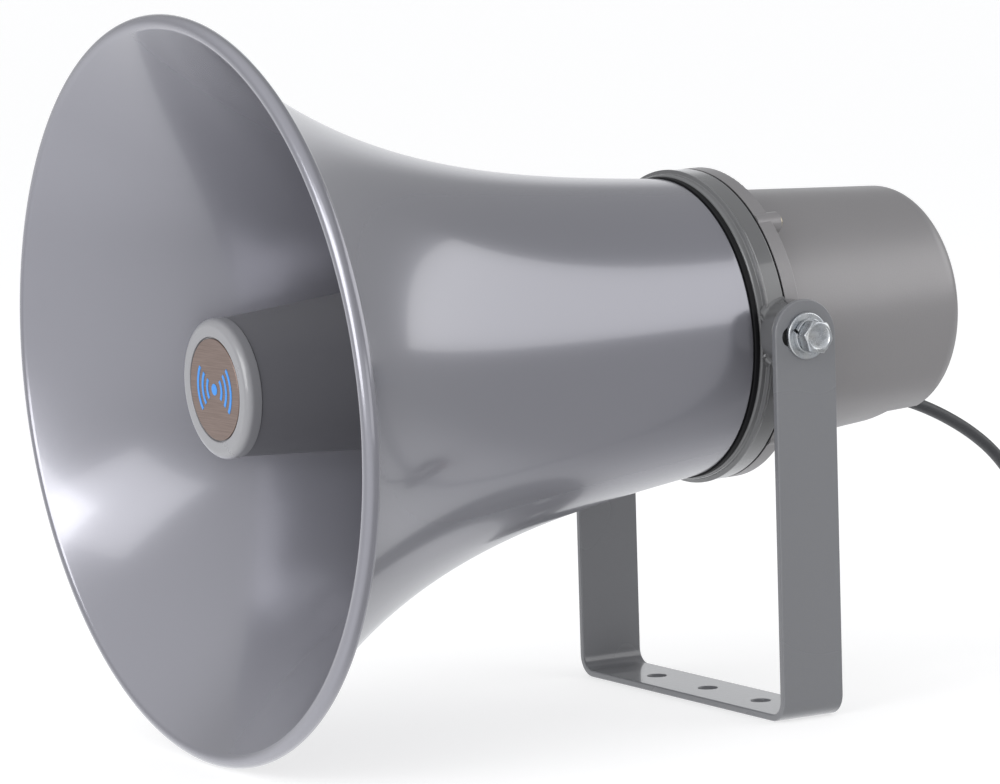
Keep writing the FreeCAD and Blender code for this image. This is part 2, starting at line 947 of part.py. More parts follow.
def make_phase_plug(front_plate):
    """Bullet ahead of the dome, held in the passage by three webs."""
    reach = value("plug_radius")
    arc, edge, middle = dome_arc(value("dome_sphere + plug_gap"), reach)
    tip = Vector(0, -0.5, 0)
    waist = Vector(0, 5, value("tube_throat_radius") - 2)
    shoulder = Vector(0, 12, reach)
    outline = [
        Part.makeLine(tip, waist),
        Part.makeLine(waist, shoulder),
        Part.makeLine(shoulder, edge),
        arc,
        Part.makeLine(middle, tip),
    ]
    plug = Part.Face(Part.Wire(outline)).revolve(Vector(0, 0, 0), Vector(0, 1, 0), 360)
    thickness = 1.6
    web = Part.makeBox(thickness, 6, 24, Vector(-thickness / 2, 1.5, 0))
    for spare in around_axis(web, 0, 60, 3):
        plug = plug.fuse(spare)
    passage = front_plate.Shape.copy()
    passage.Placement = Placement()
    plain("phase_plug", plug.cut(passage).removeSplitter())


def make_diaphragm():
    """Thin dome with a short skirt that carries the voice coil."""
    reach = value("dome_radius")
    front, front_edge, front_middle = dome_arc(value("dome_sphere"), reach)
    wall = value("dome_wall")
    back, back_edge, back_middle = dome_arc(value("dome_sphere") - wall, reach - wall)
    skirt_end = value("coil_front")
    outline = [
        front,
        Part.makeLine(front_middle, back_middle),
        back,
        Part.makeLine(back_edge, Vector(0, skirt_end, reach - wall)),
        Part.makeLine(Vector(0, skirt_end, reach - wall), Vector(0, skirt_end, reach)),
        Part.makeLine(Vector(0, skirt_end, reach), front_edge),
    ]
    face = Part.Face(Part.Wire(Part.__sortEdges__(outline)))
    plain("diaphragm", face.revolve(Vector(0, 0, 0), Vector(0, 1, 0), 360))


def make_surround():
    """Flat compliant ring between the dome's skirt and the clamping ring."""
    turned(
        "surround",
        [
            ("surround_front", "dome_radius"),
            ("surround_front - 0.5", "dome_radius + 4"),
            ("surround_front", "clamp_ring_bore"),
            ("surround_front + surround_thickness", "clamp_ring_bore"),
            ("surround_front - 0.5 + surround_thickness", "dome_radius + 4"),
            ("surround_front + surround_thickness", "dome_radius"),
        ],
    )


def make_voice_coil():
    turned(
        "voice_coil",
        [
            ("coil_front", "coil_bore"),
            ("coil_front", "dome_radius + 0.1"),
            ("coil_front + 4", "dome_radius + 0.1"),
            ("coil_front + 4", "coil_radius"),
            ("coil_back", "coil_radius"),
            ("coil_back", "coil_bore"),
        ],
    )


def make_clamp_ring():
    body = turned(
        "diaphragm_clamp_ring",
        [
            ("driver_plate_back", "clamp_ring_bore"),
            ("driver_plate_back", "driver_radius - 0.5"),
            ("top_plate_front", "driver_radius - 0.5"),
            ("top_plate_front", "clamp_ring_bore"),
        ],
    )
    clearance = "screw_radius + screw_clearance"
    screw_holes(body, "driver_screw_circle", 45, 4, clearance, "driver_plate_back - 1", "19")


def make_magnet_system():
    """Front pole plate, ferrite ring and the yoke with its centre pole."""
    plate = turned(
        "top_plate",
        [
            ("top_plate_front", "gap_radius"),
            ("top_plate_front", "driver_radius - 0.5"),
            ("magnet_front", "driver_radius - 0.5"),
            ("magnet_front", "gap_radius"),
        ],
    )
    clearance = "screw_radius + screw_clearance"
    start = "top_plate_front - 1"
    screw_holes(plate, "driver_screw_circle", 45, 4, clearance, start, "magnet_front + 1")
    turned(
        "magnet",
        [
            ("magnet_front", "magnet_bore"),
            ("magnet_front", "magnet_radius"),
            ("yoke_front", "magnet_radius"),
            ("yoke_front", "magnet_bore"),
        ],
    )
    yoke = turned(
        "yoke",
        [
            ("top_plate_front", "0"),
            ("top_plate_front", "pole_radius"),
            ("magnet_front + 1", "pole_radius"),
            ("magnet_front + 3", "pole_radius - 2"),
            ("yoke_front", "pole_radius - 2"),
            ("yoke_front", "magnet_radius"),
            ("yoke_back", "magnet_radius"),
            ("yoke_back", "0"),
        ],
    )
    tapped = "screw_radius + thread_play"
    screw_holes(yoke, "core_width / 2 - 4", 90, 2, tapped, "yoke_back - 6", "yoke_back + 1")


def make_driver_screws():
    screw = pan_screw(
        value("magnet_front"), 2.6, 3.6, value("-web_back - 5"), value("screw_radius")
    )
    copies = around_axis(screw, value("driver_screw_circle"), 45, 4)
    plain("driver_screws", Part.makeCompound(copies))


# --- Line transformer ---------------------------------------------------------------------


def box(width, front, depth, height, low=None):
    """A box centred on the axis in x, and in z unless it is given a low side."""
    bottom = -height / 2 if low is None else low
    return Part.makeBox(width, depth, height, Vector(-width / 2, front, bottom))


def make_transformer():
    """Laminated core, wound bobbin, steel strap, its screws and a tag strip."""
    front = value("core_front")
    depth = value("core_depth")
    width = value("core_width")
    height = value("core_height")
    leg = value("core_leg")
    window = value("window_height")
    core = box(width, front, depth, height)
    for side in (-1, 1):
        hole = box(leg, front, depth, window)
        hole.translate(Vector(side * leg * 1.5, 0, 0))
        core = core.cut(hole)
    plain("transformer_core", core)

    overhang = value("winding_overhang")
    bobbin = box(4 * leg - 1, front - overhang, depth + 2 * overhang, window - 1)
    centre_leg = box(2 * leg, front, depth, window)
    winding = box(4 * leg - 2.4, front - overhang + 0.7, depth + 2 * overhang - 1.4, window - 4)
    bobbin = bobbin.cut(winding).cut(centre_leg)
    plain("transformer_bobbin", keep_largest(bobbin, 2))
    former = box(2 * leg, front, depth, window)
    plain("transformer_winding", winding.cut(former))

    sheet_metal = value("strap_thickness")
    back = value("yoke_back")
    strap_width = 24
    reach = front + depth - back
    outer = width + 2 * sheet_metal + 0.2
    strap = box(outer, back, reach, strap_width).cut(
        box(width + 0.2, back + sheet_metal, reach, strap_width)
    )
    lips = box(outer, front + depth, sheet_metal, strap_width).cut(
        box(width - 6, front + depth, sheet_metal, strap_width)
    )
    strap = strap.fuse(lips).removeSplitter()
    circle = width / 2 - 4
    clearance = value("screw_radius + screw_clearance")
    drill = Part.makeCylinder(clearance, 8, Vector(0, back - 2, 0), Vector(0, 1, 0))
    for hole in around_axis(drill, circle, 90, 2):
        strap = strap.cut(hole)
    plain("transformer_strap", strap)
    screw = pan_screw(back + sheet_metal, 2.2, 3.5, back - 5.5, value("screw_radius"))
    plain("transformer_screws", Part.makeCompound(around_axis(screw, circle, 90, 2)))

    strip_low = height / 2
    base = box(34, front + 3, 12, 2, strip_low)
    tags = []
    for x in (-12, -4, 4, 12):
        tag = Part.makeBox(3, 0.8, 5, Vector(x - 1.5, front + 8.6, strip_low + 2))
        eye = Part.makeCylinder(0.7, 2, Vector(x, front + 8, strip_low + 5.4), Vector(0, 1, 0))
        tags.append(tag.cut(eye))
    plain("tag_strip", base)
    plain("solder_tags", Part.makeCompound(tags))


def keep_largest(shape, count):
    """The few largest solids of a shape, as one compound."""
    solids = sorted(shape.Solids, key=lambda solid: solid.Volume, reverse=True)
    return Part.makeCompound(solids[:count])


# --- Pivot hardware -----------------------------------------------------------------------


def both_sides(shape):
    """A shape on the +X side and its twin, turned half round, on the other."""
    twin = shape.copy()
    twin.rotate(Vector(0, 0, 0), Vector(0, 0, 1), 180)
    return Part.makeCompound([shape, twin])


def disc_along_x(start, thickness, radius, bore):
    outer = Part.makeCylinder(radius, thickness, Vector(start, 0, 0), Vector(1, 0, 0))
    inner = Part.makeCylinder(bore, thickness, Vector(start, 0, 0), Vector(1, 0, 0))
    return outer.cut(inner)


def make_pivot_hardware():
    """M8 hexagon bolts, split spring washers and flat washers, one set a side."""
    play = 0.15
    bore = value("bolt_radius") + play
    leg = value("bracket_width") / 2
    thickness = value("washer_thickness")
    washer = disc_along_x(leg, thickness, value("washer_radius"), bore)
    circles = [edge for edge in washer.Edges if isinstance(edge.Curve, Part.Circle)]
    rim = [edge for edge in circles if edge.Curve.Radius > bore + 1]
    washer = washer.makeChamfer(0.3, rim)
    plain("flat_washers", both_sides(washer))

    spring_start = leg + thickness
    spring_depth = value("spring_washer_thickness")
    spring = disc_along_x(spring_start, spring_depth, value("spring_washer_radius"), bore)
    gap = Part.makeBox(4 * spring_depth, 0.9, 12, Vector(spring_start - spring_depth, 0, 0))
    gap.rotate(Vector(spring_start + spring_depth / 2, 0, 0), Vector(0, 0, 1), -25)
    gap.rotate(Vector(0, 0, 0), Vector(1, 0, 0), 35)
    plain("spring_washers", both_sides(spring.cut(gap)))

    head_start = spring_start + spring_depth
    head_height = value("bolt_head_height")
    corner = value("bolt_head_flats") / math.sqrt(3)
    hexagon = []
    for i in range(7):
        angle = math.radians(60 * i + 20)
        hexagon.append(Vector(head_start, corner * math.cos(angle), corner * math.sin(angle)))
    prism = Part.Face(Part.makePolygon(hexagon)).extrude(Vector(head_height, 0, 0))
    flat = value("bolt_head_flats") / 2 * 0.95
    foot = flat + head_height / math.tan(math.radians(30))
    cone = Part.makeCone(foot, flat, head_height, Vector(head_start, 0, 0), Vector(1, 0, 0))
    head = prism.common(cone)
    end = Vector(value("bolt_end"), 0, 0)
    shank = Part.makeCylinder(value("bolt_radius"), head_start - end.x, end, Vector(1, 0, 0))
    plain("pivot_bolts", both_sides(head.fuse(shank).removeSplitter()))


def make_cover_screws():
    bearing = value("cover_gasket_thickness + boss_length")
    screw = pan_screw(bearing, 2.3, 3.3, -9, value("screw_radius"))
    plain("cover_screws", Part.makeCompound(around_axis(screw, value("boss_circle"), 45, 4)))


def make_bell_screws():
    bearing = value("-bell_back - bell_wall")
    screw = pan_screw(bearing, 2.3, 3.5, -4, value("screw_radius"), ahead=False)
    plain("bell_screws", Part.makeCompound(around_axis(screw, value("bell_screw_circle"), 0, 6)))


# --- Lead ---------------------------------------------------------------------------------


def lead_route():
    """Points of the free lead: out of the relief, down behind the horn, to the coil."""
    aside = -value("lead_side")
    below = -value("lead_drop")
    return [
        horn_spot(aside, value("relief_end"), below),
        horn_spot(aside, value("relief_end + lead_exit_run"), below),
        Vector(-8, 114.5, 122.4),
        Vector(-8.2, 128.5, 117.4),
        Vector(-8.6, 142.5, 110.9),
        Vector(-9.2, 156.5, 102.8),
        Vector(-10, 169.5, 93),
        Vector(-10.8, 181, 80.4),
        Vector(-11, 189.5, 64.5),
        Vector(-9.8, 195.5, 47.5),
        Vector(-5.5, 201.5, 31.5),
        Vector(4, 208.5, 17.5),
        Vector(17, 216.8, 7.6),
        Vector(32.5, 223.5, 3.2),
    ]


def make_coil(centre, radius):
    """Closed ring that the put-away turns fill, and the tie round its section."""
    section = value("coil_section")
    turn = value("coil_turn_radius")
    ring = Part.makeCylinder(turn + section / 2, section, centre)
    ring = ring.cut(Part.makeCylinder(turn - section / 2, section, centre))
    ring = ring.makeFillet(radius * 0.9, [e for e in ring.Edges if isinstance(e.Curve, Part.Circle)])
    thickness = value("tie_thickness")
    width = value("tie_width")
    tie_place = centre + Vector(turn, 0, 0)
    outer = Part.makeBox(
        section + 2 * thickness,
        width,
        section + thickness,
        tie_place - Vector(section / 2 + thickness, width / 2, 0),
    )
    inner = Part.makeBox(
        section,
        width,
        section - thickness,
        tie_place + Vector(-section / 2, -width / 2, thickness),
    )
    tie = outer.cut(inner)
    tie.rotate(centre, Vector(0, 0, 1), value("tie_angle"))
    plain("cable_coil", ring.cut(tie), on_horn=False)
    plain("coil_tie", tie, on_horn=False)


def make_cores(centre, radius):
    """The lead's two cores, side by side: off the top outer turn and down to the floor."""
    core = value("core_radius")
    angle = math.radians(value("coil_end_angle"))
    outward = Vector(math.cos(angle), math.sin(angle), 0)
    onward = Vector(math.sin(angle), -math.cos(angle), 0)
    reach = value("coil_turn_radius") + radius
    cores = []
    for side in (-1, 1):
        start = centre + outward * (reach + side * (core + 0.15)) + Vector(0, 0, 3 * radius)
        spots = [start]
        for run, drop in ((11, 1.4), (22, 5), (33, 7.4)):
            spots.append(start + onward * run - Vector(0, 0, drop))
        cores.append(cord_tube(spots, core))
    plain("cable_cores", Part.makeCompound(cores), on_horn=False)


def make_lead():
    """Free stretch of the lead, its put-away coil, the tie and the two bare cores."""
    radius = value("lead_radius")
    centre = Vector(value("coil_side"), value("coil_rear"), 0)
    plain("cable", cord_tube(lead_route(), radius), on_horn=False)
    make_coil(centre, radius)
    make_cores(centre, radius)


make_bracket()
make_bell()
make_bell_gasket()
make_base_casting()
make_cover_gasket()
make_rear_cover()
make_strain_relief()
make_tone_tube()
make_reflector_spider()
make_reflector()
make_nose_cap()
make_badge()
make_nose_screw()
make_driver_gasket()
make_driver_front_plate()
doc.recompute()
make_phase_plug(doc.getObject("driver_front_plate"))
make_diaphragm()
make_surround()
make_voice_coil()
make_clamp_ring()
make_magnet_system()
make_driver_screws()
make_transformer()
make_pivot_hardware()
make_cover_screws()
make_bell_screws()
make_lead()
doc.recompute()

for thing in doc.Objects:
    if {"Invalid", "Error"} & set(thing.State):
        raise RuntimeError(f"{thing.Name} is {thing.State}")
for piece in pieces:
    if piece.Shape.isNull() or not piece.Shape.isValid():
        raise RuntimeError(f"{piece.Label} has no valid shape")

os.makedirs("parts", exist_ok=True)
for piece in pieces:
    piece.Shape.exportStep(f"parts/{piece.Label}.step")
    bounds = piece.Shape.BoundBox
    count = len(piece.Shape.Solids)
    print(f"{piece.Label}: {count} solids, {piece.Shape.Volume:.0f} mm3, z from {bounds.ZMin:.2f}")
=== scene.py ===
import json
import math

import bmesh
import bpy
from mathutils import Matrix, Vector


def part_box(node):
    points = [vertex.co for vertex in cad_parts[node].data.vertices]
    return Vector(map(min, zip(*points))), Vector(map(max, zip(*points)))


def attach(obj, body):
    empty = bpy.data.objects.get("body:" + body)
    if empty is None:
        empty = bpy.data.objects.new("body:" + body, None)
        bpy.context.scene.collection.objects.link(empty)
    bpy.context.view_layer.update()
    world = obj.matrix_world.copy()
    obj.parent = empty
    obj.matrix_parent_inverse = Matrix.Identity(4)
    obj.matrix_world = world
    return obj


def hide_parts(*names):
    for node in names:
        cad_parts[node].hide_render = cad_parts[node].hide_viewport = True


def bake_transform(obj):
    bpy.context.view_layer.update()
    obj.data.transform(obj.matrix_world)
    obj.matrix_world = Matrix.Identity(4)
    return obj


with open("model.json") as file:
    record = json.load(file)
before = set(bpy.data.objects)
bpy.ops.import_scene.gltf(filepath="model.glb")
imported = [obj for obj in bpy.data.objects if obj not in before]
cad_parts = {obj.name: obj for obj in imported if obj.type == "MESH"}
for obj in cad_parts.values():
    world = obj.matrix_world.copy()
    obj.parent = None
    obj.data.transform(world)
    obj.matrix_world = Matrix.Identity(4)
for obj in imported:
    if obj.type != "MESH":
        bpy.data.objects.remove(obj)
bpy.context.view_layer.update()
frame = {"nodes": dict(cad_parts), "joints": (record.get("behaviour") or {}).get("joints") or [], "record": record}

# A re-entrant horn loudspeaker on a U bracket, in metres. Pieces of the horn are drawn in
# the horn's own frame, as in the CAD: origin on the pivot, y backward along the sound axis.

NODES = frame["nodes"]
JOINTS = {joint["name"]: joint for joint in frame["joints"]}
PIVOT = Vector(JOINTS["horn_tilt"]["pos_m"])
SIDE = Vector(JOINTS["horn_tilt"]["axis"])
BACK = Vector(JOINTS["diaphragm_travel"]["axis"]).normalized()
HORN = Matrix.Translation(PIVOT) @ Matrix((SIDE, BACK, SIDE.cross(BACK))).transposed().to_4x4()
ROW = Matrix.Identity(4)


def horn_box(node):
    """Lowest and highest corner of a CAD node in the horn's own frame."""
    turn = HORN.inverted()
    spots = [turn @ vertex.co for vertex in NODES[node].data.vertices]
    low = Vector(min(spot[i] for spot in spots) for i in range(3))
    high = Vector(max(spot[i] for spot in spots) for i in range(3))
    return low, high


def horn_radii(node):
    """Front y, back y and outer radius of a round CAD node of the horn."""
    low, high = horn_box(node)
    return low.y, high.y, high.x


# --- Camera and light ---------------------------------------------------------------------

CAMERA_PLACE = (1.5273, -1.02404, 0.33199)
CAMERA_AZIMUTH = 58.905
CAMERA_ELEVATION = 6.0385
CAMERA_ROLL = -1.7646
CAMERA_LENS = 151.0


def direction(azimuth, elevation):
    """Unit vector from the object; azimuth 0 is in front of the mouth, 90 is on +X."""
    turn, rise = math.radians(azimuth), math.radians(elevation)
    flat = math.cos(rise)
    return Vector((math.sin(turn) * flat, -math.cos(turn) * flat, math.sin(rise)))


def make_camera():
    back = direction(CAMERA_AZIMUTH, CAMERA_ELEVATION)
    level = Vector((back.x, back.y, 0)).normalized()
    right = Vector((-level.y, level.x, 0))
    up = back.cross(right)
    facing = Matrix((right, up, back)).transposed().to_4x4()
    data = bpy.data.cameras.new("camera")
    data.sensor_width = 36
    data.lens = CAMERA_LENS
    camera = bpy.data.objects.new("camera", data)
    bpy.context.scene.collection.objects.link(camera)
    roll = Matrix.Rotation(math.radians(CAMERA_ROLL), 4, "Z")
    camera.matrix_world = Matrix.Translation(CAMERA_PLACE) @ facing @ roll
    bpy.context.scene.camera = camera


def make_softbox(name, azimuth, elevation, distance, width, height, power, colour=(1, 1, 1)):
    """A rectangular light that faces the middle of the object."""
    aim = Vector((0, -0.07, 0.16))
    back = direction(azimuth, elevation)
    right = Vector((-back.y, back.x, 0)).normalized()
    facing = Matrix((right, back.cross(right), back)).transposed().to_4x4()
    data = bpy.data.lights.new(name, "AREA")
    data.shape = "RECTANGLE"
    data.size = width
    data.size_y = height
    data.energy = power
    data.color = colour
    lamp = bpy.data.objects.new(name, data)
    bpy.context.scene.collection.objects.link(lamp)
    lamp.matrix_world = Matrix.Translation(aim + back * distance) @ facing


ROOM_LIGHT = 0.43
FLOOR_GLOW = 0.64

# Broad patches of light in the room: which way each lies, the cosines where it begins and is
# full, and its strength.
GLOWS = {
    "pale_floor_on_the_left": (Vector((-0.6, -0.1, -0.79)), 0.35, 0.95, 0.75),
    "ceiling_in_front": (Vector((0, -0.5, 0.866)), 0.40, 1.0, 0.55),
    "bright_back_drop": (Vector((-0.852, 0.512, 0.11)), 0.90, 0.99, 0.5),
    "table_in_front_right": (Vector((0.56, -0.71, -0.42)), 0.50, 1.0, 0.6),
    "table_behind": (Vector((-0.16, 0.89, -0.42)), 0.93, 0.985, 0.3),
}


def make_world():
    """A grey room with patches of light in it."""
    world = bpy.data.worlds.new("room")
    world.use_nodes = True
    bpy.context.scene.world = world
    tree = world.node_tree
    background = tree.nodes["Background"]
    coords = tree.nodes.new("ShaderNodeTexCoord")
    total = None
    for aim, low, high, strength in GLOWS.values():
        dot = tree.nodes.new("ShaderNodeVectorMath")
        dot.operation = "DOT_PRODUCT"
        dot.inputs[1].default_value = aim
        tree.links.new(coords.outputs["Generated"], dot.inputs[0])
        lobe = tree.nodes.new("ShaderNodeMapRange")
        lobe.interpolation_type = "SMOOTHSTEP"
        lobe.inputs["From Min"].default_value = low
        lobe.inputs["From Max"].default_value = high
        lobe.inputs["To Max"].default_value = strength
        tree.links.new(dot.outputs["Value"], lobe.inputs["Value"])
        join = tree.nodes.new("ShaderNodeMath")
        join.operation = "ADD"
        join.inputs[1].default_value = ROOM_LIGHT if total is None else 0.0
        tree.links.new(lobe.outputs["Result"], join.inputs[0])
        if total is not None:
            tree.links.new(total, join.inputs[1])
        total = join.outputs["Value"]
    tree.links.new(total, background.inputs["Strength"])
    background.inputs["Color"].default_value = (0.97, 0.98, 1.0, 1)


def make_floor():
    bpy.ops.mesh.primitive_plane_add(size=80, location=(0, 0, -0.0002))
    floor = bpy.context.object
    floor.name = "floor"
    floor.visible_glossy = False
    material = bpy.data.materials.new("pale_floor")
    material.use_nodes = True
    shader = material.node_tree.nodes["Principled BSDF"]
    shader.inputs["Base Color"].default_value = (0.5, 0.5, 0.5, 1)
    shader.inputs["Roughness"].default_value = 0.9
    shader.inputs["Specular IOR Level"].default_value = 0.1
    shader.inputs["Emission Color"].default_value = (1, 1, 1, 1)
    shader.inputs["Emission Strength"].default_value = FLOOR_GLOW
    floor.data.materials.append(material)


def make_stage():
    bpy.context.scene.view_settings.view_transform = "Standard"
    make_world()
    make_floor()
    make_softbox("side_softbox", 153, 22, 1.7, 1.85, 1.0, 8.5)
    make_softbox("mouth_softbox", 29, 30, 2.2, 0.9, 0.9, 4.5)
    make_softbox("front_fill", 8, 12, 2.6, 1.6, 1.6, 34)
    make_softbox("right_fill", 95, 0, 3.0, 1.8, 1.2, 7)


# --- Materials ----------------------------------------------------------------------------


class Shader:
    """A Principled material in the making, textured in the piece's own coordinates."""

    def __init__(self, name, colour, roughness, **settings):
        self.material = bpy.data.materials.new(name)
        self.material.use_nodes = True
        self.tree = self.material.node_tree
        self.surface = self.tree.nodes["Principled BSDF"]
        self.colour = colour
        self.roughness = roughness
        self.set("Base Color", (*colour, 1))
        self.set("Roughness", roughness)
        for socket, value in settings.items():
            self.set(socket.replace("_", " "), value)
        self.coords = self.node("ShaderNodeTexCoord").outputs["Object"]
        self.normal = None

    def set(self, socket, value):
        self.surface.inputs[socket].default_value = value

    def node(self, kind, **settings):
        made = self.tree.nodes.new(kind)
        for key, value in settings.items():
            setattr(made, key, value)
        return made

    def link(self, output, socket):
        self.tree.links.new(output, socket)

    def noise(self, size, detail=2.0, stretch=(1, 1, 1), roughness=0.5):
        """Noise whose features are about that many metres across."""
        mapping = self.node("ShaderNodeMapping")
        mapping.inputs["Scale"].default_value = [1 / (size * s) for s in stretch]
        texture = self.node("ShaderNodeTexNoise")
        texture.inputs["Scale"].default_value = 1.0
        texture.inputs["Detail"].default_value = detail
        texture.inputs["Roughness"].default_value = roughness
        self.link(self.coords, mapping.inputs["Vector"])
        self.link(mapping.outputs["Vector"], texture.inputs["Vector"])
        return texture.outputs["Fac"]

    def spread(self, source, low, high, start=0.3, end=0.7):
        """Map a signal from start..end to low..high."""
        mapped = self.node("ShaderNodeMapRange")
        for key, value in (("From Min", start), ("From Max", end), ("To Min", low), ("To Max", high)):
            mapped.inputs[key].default_value = value
        self.link(source, mapped.inputs["Value"])
        return mapped.outputs["Result"]

    def math(self, operation, first, second):
        made = self.node("ShaderNodeMath", operation=operation)
        for socket, value in zip(made.inputs, (first, second)):
            if isinstance(value, (int, float)):
                socket.default_value = value
            else:
                self.link(value, socket)
        return made.outputs["Value"]

    def tint(self, share, colour):
        """Blend another colour over what is there, by a share from 0 to 1."""
        blend = self.node("ShaderNodeMix", data_type="RGBA")
        socket = self.surface.inputs["Base Color"]
        if socket.is_linked:
            self.link(socket.links[0].from_socket, blend.inputs["A"])
        else:
            blend.inputs["A"].default_value = socket.default_value
        blend.inputs["B"].default_value = (*colour, 1)
        self.link(share, blend.inputs["Factor"])
        self.link(blend.outputs["Result"], socket)

    def roughen(self, change):
        """Add a signal to the roughness."""
        socket = self.surface.inputs["Roughness"]
        base = socket.links[0].from_socket if socket.is_linked else self.roughness
        self.link(self.math("ADD", base, change), socket)

    def bump(self, height, depth):
        """Raise the surface by that many metres where the signal is 1."""
        made = self.node("ShaderNodeBump")
        made.inputs["Strength"].default_value = 1.0
        made.inputs["Distance"].default_value = depth
        self.link(height, made.inputs["Height"])
        if self.normal is not None:
            self.link(self.normal, made.inputs["Normal"])
        self.normal = made.outputs["Normal"]
        self.link(self.normal, self.surface.inputs["Normal"])

    def edges(self, radius):
        """About 1 on convex and concave edges, 0 on smooth surfaces."""
        rounded = self.node("ShaderNodeBevel", samples=4)
        rounded.inputs["Radius"].default_value = radius
        plain = self.node("ShaderNodeNewGeometry")
        dot = self.node("ShaderNodeVectorMath", operation="DOT_PRODUCT")
        self.link(rounded.outputs["Normal"], dot.inputs[0])
        self.link(plain.outputs["Normal"], dot.inputs[1])
        return self.spread(dot.outputs["Value"], 1, 0, 0.86, 0.995)

    def upward(self):
        """About 1 on surfaces that face up, where dust settles."""
        plain = self.node("ShaderNodeNewGeometry")
        split = self.node("ShaderNodeSeparateXYZ")
        self.link(plain.outputs["Normal"], split.inputs["Vector"])
        return self.spread(split.outputs["Z"], 0, 1, 0.45, 1.0)


def shade(colour, factor):
    return tuple(min(1.0, channel * factor) for channel in colour)


def painted(name, colour, roughness, peel, peel_depth, dust=0.06, wear=0.12, **settings):
    """Sprayed paint: orange peel, faint mottling, handling marks, dust and worn edges."""
    shader = Shader(name, colour, roughness, **settings)
    shader.tint(shader.spread(shader.noise(0.12, 1), 0, 0.5, 0, 1), shade(colour, 0.96))
    shader.tint(shader.spread(shader.noise(0.0007, 1), 0, 0.1, 0, 1), shade(colour, 1.1))
    smudge = shader.spread(shader.noise(0.06, 1), -0.015, 0.02, 0, 1)
    shader.roughen(smudge)
    worn = shader.math("MULTIPLY", shader.edges(0.0009), shader.spread(shader.noise(0.004, 4), 0.1, 1))
    shader.tint(shader.math("MULTIPLY", worn, wear), shade(colour, 1.5))
    dusty = shader.math("MULTIPLY", shader.upward(), shader.spread(shader.noise(0.06, 1), 0.5, 1, 0, 1))
    shader.tint(shader.math("MULTIPLY", dusty, dust), (0.55, 0.54, 0.52))
    shader.roughen(shader.math("MULTIPLY", dusty, dust * 0.8))
    shader.bump(shader.noise(peel, 2), peel_depth)
    shader.bump(shader.noise(0.00035, 1), peel_depth * 0.12)
    return shader.material


def moulded(name, colour, roughness, grain, grain_depth, wear=0.3, mottle=1.0, **settings):
    """Moulded plastic or rubber: fine tool texture, flow mottling and scuffed edges."""
    shader = Shader(name, colour, roughness, **settings)
    shader.tint(shader.spread(shader.noise(0.05, 4), 0, 0.6), shade(colour, 1 - 0.08 * mottle))
    shader.tint(shader.spread(shader.noise(grain, 2), 0, 0.3), shade(colour, 1 + 0.18 * mottle))
    shader.roughen(shader.spread(shader.noise(0.03, 5, roughness=0.65), -0.04 * mottle, 0.06 * mottle))
    scuffed = shader.math("MULTIPLY", shader.edges(0.0008), shader.spread(shader.noise(0.003, 4), 0, 1))
    shader.tint(shader.math("MULTIPLY", scuffed, wear), shade(colour, 1.6))
    scratch = shader.noise(0.0006, 3, stretch=(14, 1, 5))
    shader.roughen(shader.spread(scratch, 0, 0.10 * mottle, 0.62, 0.8))
    shader.bump(shader.noise(grain, 3), grain_depth)
    return shader.material


def plated(name, colour, roughness, tint, **settings):
    """Plated or bare metal: cloudy plating, fine scratches, lighter edges."""
    shader = Shader(name, colour, roughness, Metallic=1.0, **settings)
    shader.tint(shader.spread(shader.noise(0.006, 4), 0, 0.75), tint)
    shader.tint(shader.spread(shader.noise(0.0012, 3), 0, 0.25), shade(colour, 0.6))
    shader.roughen(shader.spread(shader.noise(0.0025, 5), -0.06, 0.14))
    scratch = shader.noise(0.0004, 3, stretch=(1, 18, 9))
    shader.roughen(shader.spread(scratch, 0, 0.15, 0.6, 0.8))
    shader.tint(shader.math("MULTIPLY", shader.edges(0.0005), 0.4), shade(colour, 1.25))
    shader.bump(shader.noise(0.0008, 4), 0.000015)
    shader.bump(scratch, 0.000006)
    return shader.material


def brushed(name, colour, roughness, tint):
    """Metal brushed along X, under a thin lacquer."""
    shader = Shader(name, colour, roughness, Metallic=0.85, Coat_Weight=0.35, Coat_Roughness=0.12)
    lines = shader.noise(0.00028, 3, stretch=(60, 1, 1))
    shader.tint(shader.spread(lines, 0, 0.85), tint)
    shader.tint(shader.spread(shader.noise(0.008, 4), 0, 0.35), shade(colour, 0.82))
    shader.roughen(shader.spread(lines, -0.08, 0.12))
    shader.bump(lines, 0.000012)
    return shader.material


def laminated(name, colour):
    """A stack of varnished half-millimetre steel laminations along the horn's axis."""
    shader = Shader(name, colour, 0.5, Metallic=0.7)
    sheets = shader.node("ShaderNodeTexWave", bands_direction="Y")
    sheets.inputs["Scale"].default_value = 314
    sheets.inputs["Distortion"].default_value = 0.4
    shader.link(shader.coords, sheets.inputs["Vector"])
    shader.tint(shader.spread(sheets.outputs["Fac"], 0, 0.8, 0.1, 0.9), shade(colour, 0.35))
    shader.tint(shader.spread(shader.noise(0.004, 4), 0, 0.6), (0.16, 0.10, 0.05))
    shader.bump(sheets.outputs["Fac"], 0.00006)
    return shader.material


def wound(name, colour):
    """Enamelled copper wire wound side by side."""
    shader = Shader(name, colour, 0.3, Metallic=0.8, Coat_Weight=0.5)
    wires = shader.node("ShaderNodeTexWave", bands_direction="Y")
    wires.inputs["Scale"].default_value = 520
    wires.inputs["Distortion"].default_value = 0.8
    shader.link(shader.coords, wires.inputs["Vector"])
    shader.tint(shader.spread(wires.outputs["Fac"], 0, 0.7, 0.1, 0.9), shade(colour, 0.4))
    shader.roughen(shader.spread(shader.noise(0.003, 4), -0.05, 0.15))
    shader.bump(wires.outputs["Fac"], 0.00008)
    return shader.material


